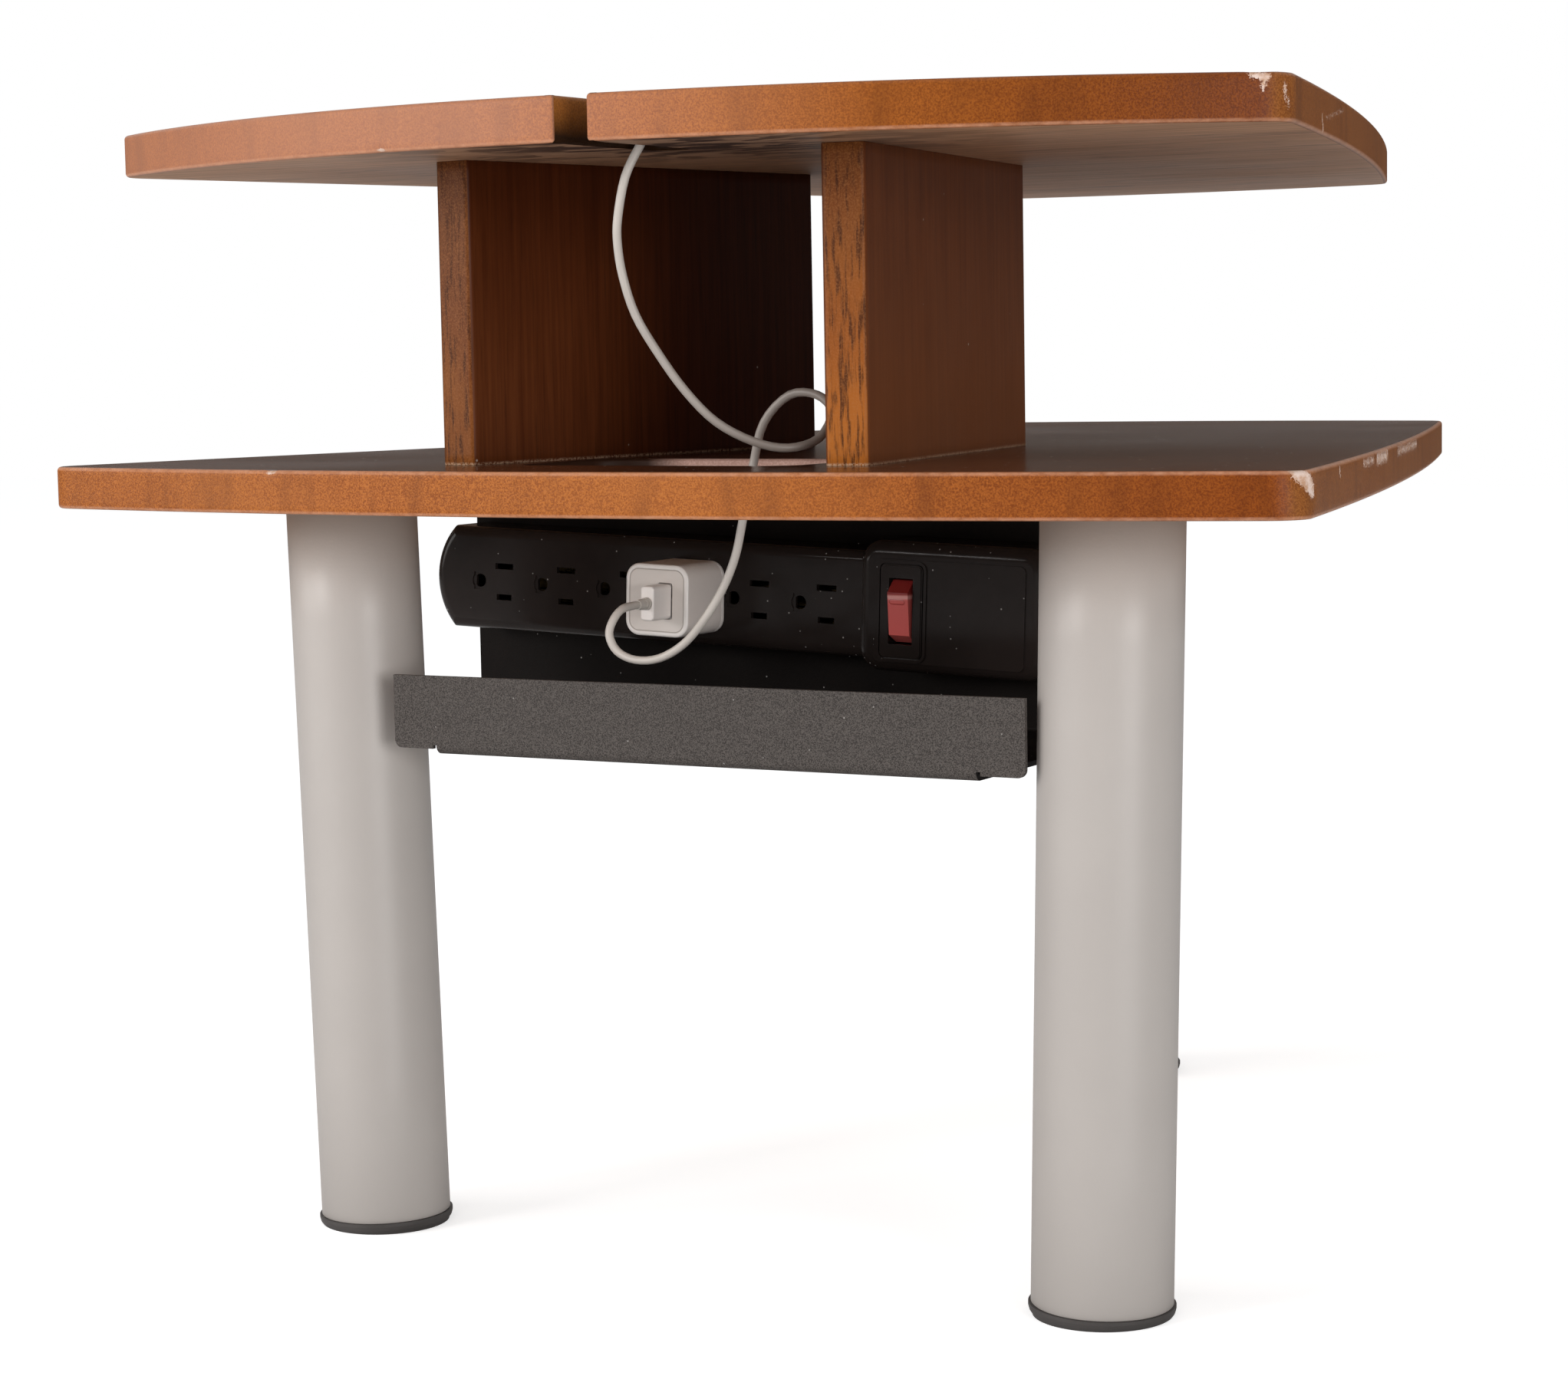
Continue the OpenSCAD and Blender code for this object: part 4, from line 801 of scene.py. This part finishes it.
def under_wood(place):
    """Greyish brown stain with streaks along the width; it grows darker in cloudy patches round the notch."""
    grain = placed(figure, place, (12, 300, 300), 1100.0, 8.0)
    colour = toned(grain["Streaks"], 0.34, 0.66, (0.42, 0.220, 0.122), (0.70, 0.405, 0.238))
    colour = laid(colour, (0.15, 0.078, 0.050), grain["Pores"], 0.45)
    smear = noise(stretched(place, (24, 105, 105)), 1.0, 4.0, distortion=1.2)
    colour = laid(colour, (0.10, 0.054, 0.038), remap(smear, 0.57, 0.72, 0.0, 0.45))
    near = remap(vectors("DISTANCE", stretched(place, (1, 1, 0)), DARK_PATCH_MIDDLE, 1), *DARK_PATCH_REACH, 1, 0)
    colour = laid(colour, (0.185, 0.120, 0.088), near, 0.62)
    cloud = noise(stretched(place, (17, 38, 38)), 1.0, 4.0, distortion=2.2)
    colour = laid(colour, (0.045, 0.026, 0.021), near, remap(cloud, 0.49, 0.53), 0.92)
    return surface(colour, grain["Streaks"], 0.10, Roughness=remap(grain["Mottle"], 0.3, 0.7, 0.42, 0.58))


top_face = finish("lacquered top face", lacquered_wood, Specular_IOR_Level=0.5)
top_under = finish("stained underside", under_wood, Specular_IOR_Level=0.2)
print("nodes of the underside:", len(top_under.node_tree.nodes))

# %% Finishes of the notch's wall and the cut-out's
NOTCH_FOOT_Z = 0.4175, 0.4265
CUT_SHADE_X = -0.038, -0.020


def notch_wood(place):
    """Darker olive stain, with painted shade that fades it to nearly black at the lower end of the wall."""
    grain = placed(figure, place, SANDED, 1500.0, 60.0)
    colour = toned(grain["Speckle"], 0.35, 0.65, (0.170, 0.056, 0.009), (0.300, 0.104, 0.018))
    # Painted shade: nearly black towards the lower end of the wall, with a mottled edge.
    height = maths("ADD", axes(place)[2], times(grain["Mottle"], 0.004))
    colour = laid(colour, (0.020, 0.008, 0.003), remap(height, *NOTCH_FOOT_Z, 1, 0))
    return surface(colour, grain["Speckle"], 0.3, 0.0003)


def cut_wood(place):
    """Paler pinkish brown of a routed wall, with a fine speckle; its left part is painted dark as shade."""
    grain = placed(figure, place, SANDED, 1500.0, 20.0)
    colour = toned(grain["Speckle"], 0.35, 0.65, (0.36, 0.205, 0.160), (0.52, 0.330, 0.270))
    # Painted shade: the wall darkens to nearly black towards its left end.
    colour = laid(colour, (0.030, 0.012, 0.006), remap(axes(place)[0], *CUT_SHADE_X, 1.0, 0.0))
    return surface(colour, grain["Speckle"], 0.3, 0.0003)


notch_wall = finish("stained notch wall", notch_wood, Specular_IOR_Level=0.1, Roughness=0.5)
cut_wall = finish("routed cut-out wall", cut_wood, Specular_IOR_Level=0.2, Roughness=0.5)
for top, inner_wall in ((upper_top, notch_wall), (lower_top, cut_wall)):
    for material in (top_edge, top_face, top_under, inner_wall):
        top.data.materials.append(material)
    print(top.name, "wears:", [material.name for material in top.data.materials])

# %% [markdown]
# ## Dark wood of the boards
# The boards' wide faces are stained nearly black with the grain upright, and their narrow
# front edges are lighter, with short dark pores that run up the edge. One finish serves both
# boards, so what differs between them fades in over the middle of the table; that difference,
# like the darkening towards the back and the top, is painted shade and light.

# %% Finishes of the boards
BETWEEN_BOARDS_X = -0.02, 0.02
SEAM_Z = 0.3024, 0.3032


def foot_seam(z, speckle):
    """Broken line of dust in the millimetre above the lower top."""
    return times(remap(z, *SEAM_Z, 0.75, 0.0), remap(speckle, 0.42, 0.55))


def dark_faces(place):
    """Very dark stain, upright streaks and tiny pale flecks; painted shade darkens the left board towards the
    back and the top, and painted light brightens the right board towards its foot.
    """
    x, y, z = axes(place)
    grain = placed(figure, place, (420, 420, 14), 1200.0, 12.0)
    colour = toned(grain["Streaks"], 0.30, 0.70, (0.072, 0.017, 0.0045), (0.122, 0.034, 0.0095))
    colour = laid(colour, (0.030, 0.009, 0.003), grain["Pores"], 0.35)
    # Painted shade: the left board darkens towards the back and towards the top, deeper in the bay.
    painted_shade_depth = maths("MAXIMUM", remap(y, -0.23, -0.10, 0.0, 0.8), remap(z, 0.33, 0.40, 0.0, 0.7))
    colour = tinted(colour, (0.42, 0.28, 0.22), remap(x, *BETWEEN_BOARDS_X, 1.0, 0.0), painted_shade_depth)
    # Painted light: the right board turns lighter and redder towards its foot.
    colour = laid(colour, (0.175, 0.055, 0.015), remap(x, *BETWEEN_BOARDS_X), remap(z, 0.31, 0.40, 0.6, 0.0))
    colour = laid(colour, (0.5, 0.45, 0.4), placed(specks, place, 220.0, 0.13, 0.03)["Mask"], 0.6)
    colour = laid(colour, (0.46, 0.30, 0.20), foot_seam(z, grain["Speckle"]))
    return surface(colour, grain["Streaks"], 0.12, Roughness=remap(grain["Mottle"], 0.3, 0.7, 0.36, 0.50))


def board_edges(place):
    """Golden to reddish brown with short dark pores; painted shade darkens the left board's edge and both
    edges towards the top, and painted light brightens the right board's foot.
    """
    x, _, z = axes(place)
    grain = placed(figure, place, (700, 700, 70), 1500.0, 16.0)
    colour = toned(grain["Mottle"], 0.34, 0.66, (0.200, 0.050, 0.009), (0.350, 0.115, 0.019))
    # Painted shade on the left board's edge and towards the top of both edges, and painted light at the right
    # board's foot.
    colour = tinted(colour, (0.60, 0.58, 0.55), remap(x, *BETWEEN_BOARDS_X, 1.0, 0.0))
    colour = laid(colour, (0.060, 0.017, 0.006), remap(z, 0.315, 0.412, 0.0, 0.78))
    colour = laid(colour, (0.420, 0.130, 0.016), remap(x, *BETWEEN_BOARDS_X), remap(z, 0.31, 0.38, 0.55, 0.0))
    colour = laid(colour, (0.042, 0.012, 0.004), remap(grain["Streaks"], 0.50, 0.62, 0.0, 0.85))
    colour = laid(colour, (0.34, 0.13, 0.04), remap(grain["Speckle"], 0.45, 0.70, 0.0, 0.4))
    colour = laid(colour, (0.60, 0.42, 0.28), foot_seam(z, grain["Speckle"]))
    return surface(colour, grain["Streaks"], 0.20, Roughness=remap(grain["Streaks"], 0.3, 0.7, 0.40, 0.55))


board_face = finish("dark board face", dark_faces, Specular_IOR_Level=0.12)
board_edge = finish("board front edge", board_edges, Specular_IOR_Level=0.12)
for board in (left_board, right_board):
    board.data.materials.append(board_face)
    board.data.materials.append(board_edge)
print("boards wear:", board_face.name, "and", board_edge.name)

# %% [markdown]
# ## Painted steel, plastic and metal
# Powder coat has a fine orange peel, so its bump is an isotropic noise of under a millimetre.
# Moulded plastic is smoother, with faint scuffs and dust. Each recipe below is a short function
# that takes its two tones, so the same network serves the legs, the tray, the strip and the
# charger, and the constants stay on the shader.

# %% Recipes for the hard parts
DUST_TONE, DUST_SCALE, DUST_SIZE = (0.5, 0.48, 0.46), 420.0, 0.17


def coated(dark, light, grain_scale, strength, rough, dust=0.0):
    """Recipe: tones mixed by a slow noise, a fine bump, faint scuffs, and dust in this share of cells."""

    def build(place):
        colour = toned(noise(place, 22.0, 4.0, 0.6), 0.35, 0.65, dark, light)
        colour = laid(colour, light, placed(scuffs, place, (60, 60, 700), 24.0)["Mask"], 0.15)
        if dust:
            colour = laid(colour, DUST_TONE, placed(specks, place, DUST_SCALE, DUST_SIZE, dust)["Mask"], 0.6)
        return surface(colour, noise(place, grain_scale, 2.0, 0.6), strength,
                       Roughness=remap(noise(place, 60.0, 3.0), 0.3, 0.7, rough - 0.02, rough + 0.02))
    return build


def brushed(dark, light):
    """Recipe: metal with fine lines along x and a slow variation of roughness."""

    def build(place):
        lines = noise(stretched(place, (90, 1500, 1500)), 1.0, 3.0, 0.6)
        return surface(toned(lines, 0.3, 0.7, dark, light), lines, 0.05, 0.0001,
                       Roughness=remap(noise(place, 120.0), 0.3, 0.7, 0.22, 0.38))
    return build


# %% Finishes by slot
# Each coat: name, dark and light tone, scale and strength of its bump, roughness and share of dusty cells.
COATS = {
    "raw_wood": ("raw wood", (0.42, 0.29, 0.17), (0.56, 0.41, 0.26), 900.0, 0.2, 0.7),
    "grey_powder_coat": ("grey powder coat", (0.388, 0.360, 0.338), (0.400, 0.372, 0.349), 900.0, 0.16, 0.42),
    # The tray's plate and lip are one coat; this near-black tone on the plate is painted shade, and the lip
    # keeps a lighter grey.
    "black_powder_coat": ("black powder coat", (0.007, 0.0055, 0.005), (0.010, 0.008, 0.007),
                          1100.0, 0.25, 0.45, 0.05),
    "dark_plastic": ("dark foot plastic", (0.045, 0.041, 0.039), (0.065, 0.059, 0.057),
                     1300.0, 0.2, 0.5, 0.05),
    "black_plastic": ("black moulded plastic", (0.0140, 0.0103, 0.0091), (0.0195, 0.0145, 0.0130),
                      1500.0, 0.08, 0.18, 0.10),
    "red_plastic": ("red rocker plastic", (0.47, 0.065, 0.060), (0.54, 0.090, 0.082),
                    1500.0, 0.1, 0.35, 0.04),
    "white_plastic": ("white moulded plastic", (0.82, 0.765, 0.73), (0.86, 0.81, 0.775),
                      1500.0, 0.06, 0.35, 0.02),
    "white_cord": ("white cord sheath", (0.50, 0.46, 0.42), (0.57, 0.53, 0.485), 1800.0, 0.08, 0.42, 0.02),
    "circuit_green": ("circuit board", (0.010, 0.10, 0.035), (0.020, 0.16, 0.060), 700.0, 0.3, 0.4)}
METALS = {
    "bright_metal": ("bright metal", (0.62, 0.62, 0.63), (0.78, 0.78, 0.79)),
    "zinc_steel": ("zinc-plated steel", (0.48, 0.49, 0.50), (0.62, 0.63, 0.64)),
    # Near-black brass: painted shade for contacts deep in the outlets.
    "contact_brass": ("contact brass", (0.050, 0.032, 0.014), (0.075, 0.050, 0.022))}
SHINE = {"black_powder_coat": 0.04, "dark_plastic": 0.3, "black_plastic": 0.15}
PLAIN_SHINE = 0.5

FINISHES = {"stained_wood": top_edge, "dark_wood": board_face}
for slot, (name, *recipe) in COATS.items():
    FINISHES[slot] = finish(name, coated(*recipe), Specular_IOR_Level=SHINE.get(slot, PLAIN_SHINE))
for slot, (name, *recipe) in METALS.items():
    FINISHES[slot] = finish(name, brushed(*recipe), Metallic=1.0)
print("finishes by slot:", len(FINISHES))

# %% [markdown]
# ## Finishes that follow a drawn shape
# The charger's rim and seam and the rocker's bar are thinner than a mesh needs to show, so they
# are drawn by the distance from a rounded rectangle, which a bump then raises or sinks. The
# charger, the rocker and the cord's loop also carry painted shade and highlights, and the tray's
# lip gets the lighter copy of the plate's coat, whose near-black is painted shade.

# %% Drawn shapes
STRIP_TURN = math.radians(2.3)


def rounded_distance(place, middle, half, radius):
    """Distance from a rounded rectangle in the strip's lean: length past its inner box, less its radius."""
    lean = {"Vector": place, "Location": middle, "Rotation": (0, STRIP_TURN, 0)}
    local = linked("Mapping", lean, vector_type="TEXTURE")
    over = vectors("SUBTRACT", vectors("ABSOLUTE", local), (half[0] - radius, 10, half[1] - radius))
    return maths("SUBTRACT", vectors("LENGTH", vectors("MAXIMUM", over), output=1), radius)


def around(distance, offset, width):
    """Thin line: full within a third of a width of the offset, gone a width away from it."""
    return remap(maths("ABSOLUTE", maths("SUBTRACT", distance, offset)), width / 3, width, 1.0, 0.0)


# %% Finish of the charger
CHARGER_MIDDLE, PLUG_MIDDLE = (-0.05507, -0.1445, 0.24539), (-0.05128, -0.1445, 0.24524)
CHARGER_FRONT_Y = -0.1440, -0.1436
RIM_INSET = 0.0021


def charger_coat(place):
    """White plastic with a fine seam; painted shade darkens the front face against the sides, its rim keeps
    the paler tone as a painted edge highlight, and a dark line round the plug is painted shadow.
    """
    outer = rounded_distance(place, CHARGER_MIDDLE, (0.01425, 0.01425), 0.006)
    plug = rounded_distance(place, PLUG_MIDDLE, (0.0030, 0.00675), 0.001)
    front = remap(axes(place)[1], *CHARGER_FRONT_Y, 1.0, 0.0)
    rim = times(front, remap(outer, -RIM_INSET, 0.0003 - RIM_INSET))
    seam = times(front, around(outer, -RIM_INSET, 0.0003))
    colour = toned(noise(place, 45.0, 3.0), 0.35, 0.65, (0.79, 0.725, 0.68), (0.83, 0.765, 0.72))
    # Painted shade on the front face, with the rim left pale as a painted edge highlight.
    colour = laid(colour, (0.70, 0.645, 0.60), front)
    colour = laid(colour, (0.83, 0.79, 0.755), rim)
    colour = laid(colour, (0.30, 0.25, 0.22), seam, 0.55)
    # Painted shadow: a dark line round the plug.
    colour = laid(colour, (0.10, 0.08, 0.07), front, around(plug, 0.0001, 0.00045), 0.85)
    return surface(colour, maths("SUBTRACT", rim, seam), 0.5, 0.0003)


charger_plastic = finish("charger plastic", charger_coat, Roughness=0.36)
print("nodes of the charger:", len(charger_plastic.node_tree.nodes))

# %% Finishes of the cord, the rocker and the lip
BAR_MIDDLE = (0.03863, -0.121, 0.24505)
ROCKER_BEND_Z = 0.2468


def sheath(place):
    """Pale grey rubber with painted shade in the bay: darkest at the loop, by a product of slopes of x and z.
    """
    x, _, z = axes(place)
    colour = toned(noise(place, 60.0, 3.0), 0.35, 0.65, (0.52, 0.48, 0.44), (0.58, 0.54, 0.495))
    # Painted shade: the cord darkens where it lies in the bay, most at the loop.
    bay = times(remap(z, 0.292, 0.304), remap(z, 0.345, 0.385, 1.0, 0.35))
    colour = laid(colour, (0.135, 0.105, 0.088), bay, remap(x, 0.012, 0.046, 0.55, 1.0), 0.85)
    return surface(colour, noise(place, 1800.0), 0.08)


def rocker_coat(place):
    """Red plastic with painted shade above its bend, a painted highlight along the bend and a raised bar in a
    dark outline.
    """
    z = axes(place)[2]
    bar = rounded_distance(place, BAR_MIDDLE, (0.0032, 0.0009), 0.00089)
    # Painted shade above the bend and a painted highlight along it.
    colour = toned(z, 0.2465, 0.2485, (0.62, 0.115, 0.104), (0.22, 0.018, 0.016))
    colour = laid(colour, (0.72, 0.32, 0.29), around(z, ROCKER_BEND_Z, 0.0011))
    colour = laid(colour, (0.26, 0.025, 0.022), around(bar, 0.0, 0.00028), 0.6)
    return surface(colour, remap(bar, -0.0003, 0.0003, 1.0, 0.0), 0.6, 0.0003)


def lip_speckle(place):
    """Grey coat of fine dark and light grains, with a few pale specks."""
    grain = noise(place, 2300.0, 2.0, 0.7)
    colour = toned(grain, 0.40, 0.60, (0.030, 0.026, 0.024), (0.094, 0.083, 0.076))
    colour = laid(colour, (0.45, 0.43, 0.41), placed(specks, place, DUST_SCALE, DUST_SIZE, 0.05)["Mask"], 0.6)
    return surface(colour, grain, 0.4)


cord_sheath = finish("cord sheath with painted bay shade", sheath, Roughness=0.42)
rocker_plastic = finish("rocker plastic", rocker_coat, Roughness=0.33)
lip_coat = finish("speckled lip coat", lip_speckle, Specular_IOR_Level=0.12, Roughness=0.55)

# %% The pieces get their finishes
BEHIND_LIP_Y = -0.2155

for part in nodes.values():
    for held in part.material_slots:
        held.material = FINISHES[held.name]
for piece in soft_parts.values():
    piece.data.materials.clear()
    piece.data.materials.append(FINISHES[piece["finish"]])
soft_parts["charger_shell"].data.materials[0] = charger_plastic
soft_parts["switch_rocker"].data.materials[0] = rocker_plastic
# The lip gets the lighter grey of the same coat; the plate's near-black is painted shade.
tray = soft_parts["tray_sheet"]
tray.data.materials.append(lip_coat)
centres = np.zeros(3 * len(tray.data.polygons))
tray.data.polygons.foreach_get("center", centres)
on_lip = centres[1::3] < BEHIND_LIP_Y
tray.data.polygons.foreach_set("material_index", on_lip.astype(np.int32))
for leg in legs:
    leg.data.materials.append(FINISHES["grey_powder_coat"])
lead.data.materials.append(cord_sheath)
print("faces of the tray's lip:", int(on_lip.sum()), "of", len(on_lip))

# %% [markdown]
# ## Floor, backdrop and light
# The picture's white comes from rays, not from more light: the camera, a mirror and glass see
# a white world, while matt surfaces get a softer grey sky. A large lamp on the left is the
# key, and a smaller one beside it draws the broad glare on the front edge. Two more stand low
# in front and on the right, so that their light reaches under the tops; the front one is
# hidden from mirrors, or it would lay a veil on the front edges. The low wall far out is seen
# by reflections alone, and keeps the lacquer's grazing mirror from turning white.

# %% Floor and wall
FLOOR, WALL_R, WALL_SIDES, WALL_LOW, WALL_HIGH = 6, 4, 64, -0.2, 1.4


def stage_mesh(name, points, faces):
    mesh = bpy.data.meshes.new(name)
    mesh.from_pydata(points, [], faces)
    piece = shown(name, mesh)
    return piece


def bare_tree(owner):
    """The emptied node tree of a material or a world."""
    owner.use_nodes = True
    owner.node_tree.nodes.clear()
    return owner.node_tree


floor_points = [(x * FLOOR, y * FLOOR, 0) for x, y in ((-1, -1), (1, -1), (1, 1), (-1, 1))]
floor = stage_mesh("floor", floor_points, [(0, 1, 2, 3)])
turn = np.linspace(0, 2 * np.pi, WALL_SIDES, endpoint=False)
wall_ring = WALL_R * np.column_stack((np.cos(turn), np.sin(turn)))
wall_points = np.vstack([np.column_stack((wall_ring, np.full(WALL_SIDES, z))) for z in (WALL_LOW, WALL_HIGH)])
wall = stage_mesh("dim_wall", wall_points.tolist(), grid_quads(2, WALL_SIDES).tolist())
wall.visible_camera = wall.visible_diffuse = wall.visible_shadow = wall.visible_transmission = False

pale = bpy.data.materials.new("pale floor")
tree = bare_tree(pale)
seen = add(tree, "LightPath").outputs["Is Camera Ray"]
matt = add(tree, "BsdfDiffuse", {"Color": (0.8, 0.8, 0.8, 1)}).outputs[0]
glow = linked("Emission", {"Color": (1, 1, 1, 1), "Strength": times(seen, 0.6)})
add(tree, "OutputMaterial", {0: linked("AddShader", {0: matt, 1: glow})})
floor.data.materials.append(pale)

dim = bpy.data.materials.new("dim wall")
tree = bare_tree(dim)
add(tree, "OutputMaterial", {0: add(tree, "Emission", {"Color": (0.100, 0.079, 0.067, 1)}).outputs[0]})
wall.data.materials.append(dim)

# %% World and lamps
# Each lamp: place, height of its aim over the origin, size in metres, watts and colour.
LAMPS = {"key": ((-2.3, -1.7, 0.95), 0.25, 1.4, 27, (1.0, 0.98, 0.96)),
         "glare": ((-1.25, -2.35, 0.95), 0.3, 0.7, 22, (1.0, 0.97, 0.96)),
         "low_front": ((0.7, -2.8, 0.45), 0.25, 1.2, 13, (1.0, 0.98, 0.97)),
         "right_fill": ((2.15, -1.5, 0.4), 0.25, 1.0, 30, (1.0, 0.98, 0.97))}

world = bpy.data.worlds.new("studio")
bpy.context.scene.world = world
tree = bare_tree(world)
rays = add(tree, "LightPath").outputs
white_rays = maths("MAXIMUM", rays["Is Camera Ray"], rays["Is Glossy Ray"])
white_rays = maths("MAXIMUM", white_rays, rays["Is Transmission Ray"])
sky = add(tree, "Background", {"Color": (0.98, 0.99, 1.0, 1), "Strength": 0.5}).outputs[0]
white = add(tree, "Background", {"Color": (1, 1, 1, 1), "Strength": 1.0}).outputs[0]
add(tree, "OutputWorld", {0: linked("MixShader", {0: white_rays, 1: sky, 2: white})})


def soft_lamp(name, place, aim_z, size, watts, colour):
    """Square area lamp at a place, turned so that its face looks at this height over the origin."""
    lamp = bpy.data.lights.new(name, "AREA")
    lamp.size, lamp.energy, lamp.color = size, watts, colour
    holder = shown(name, lamp)
    holder.location = place
    holder.rotation_euler = (Vector((0, 0, aim_z)) - Vector(place)).to_track_quat("-Z", "Y").to_euler()
    return holder


lamps = {name: soft_lamp(name, *settings) for name, settings in LAMPS.items()}
lamps["low_front"].visible_glossy = False
bpy.context.scene.view_settings.view_transform = "Standard"
print("lamps:", list(lamps))
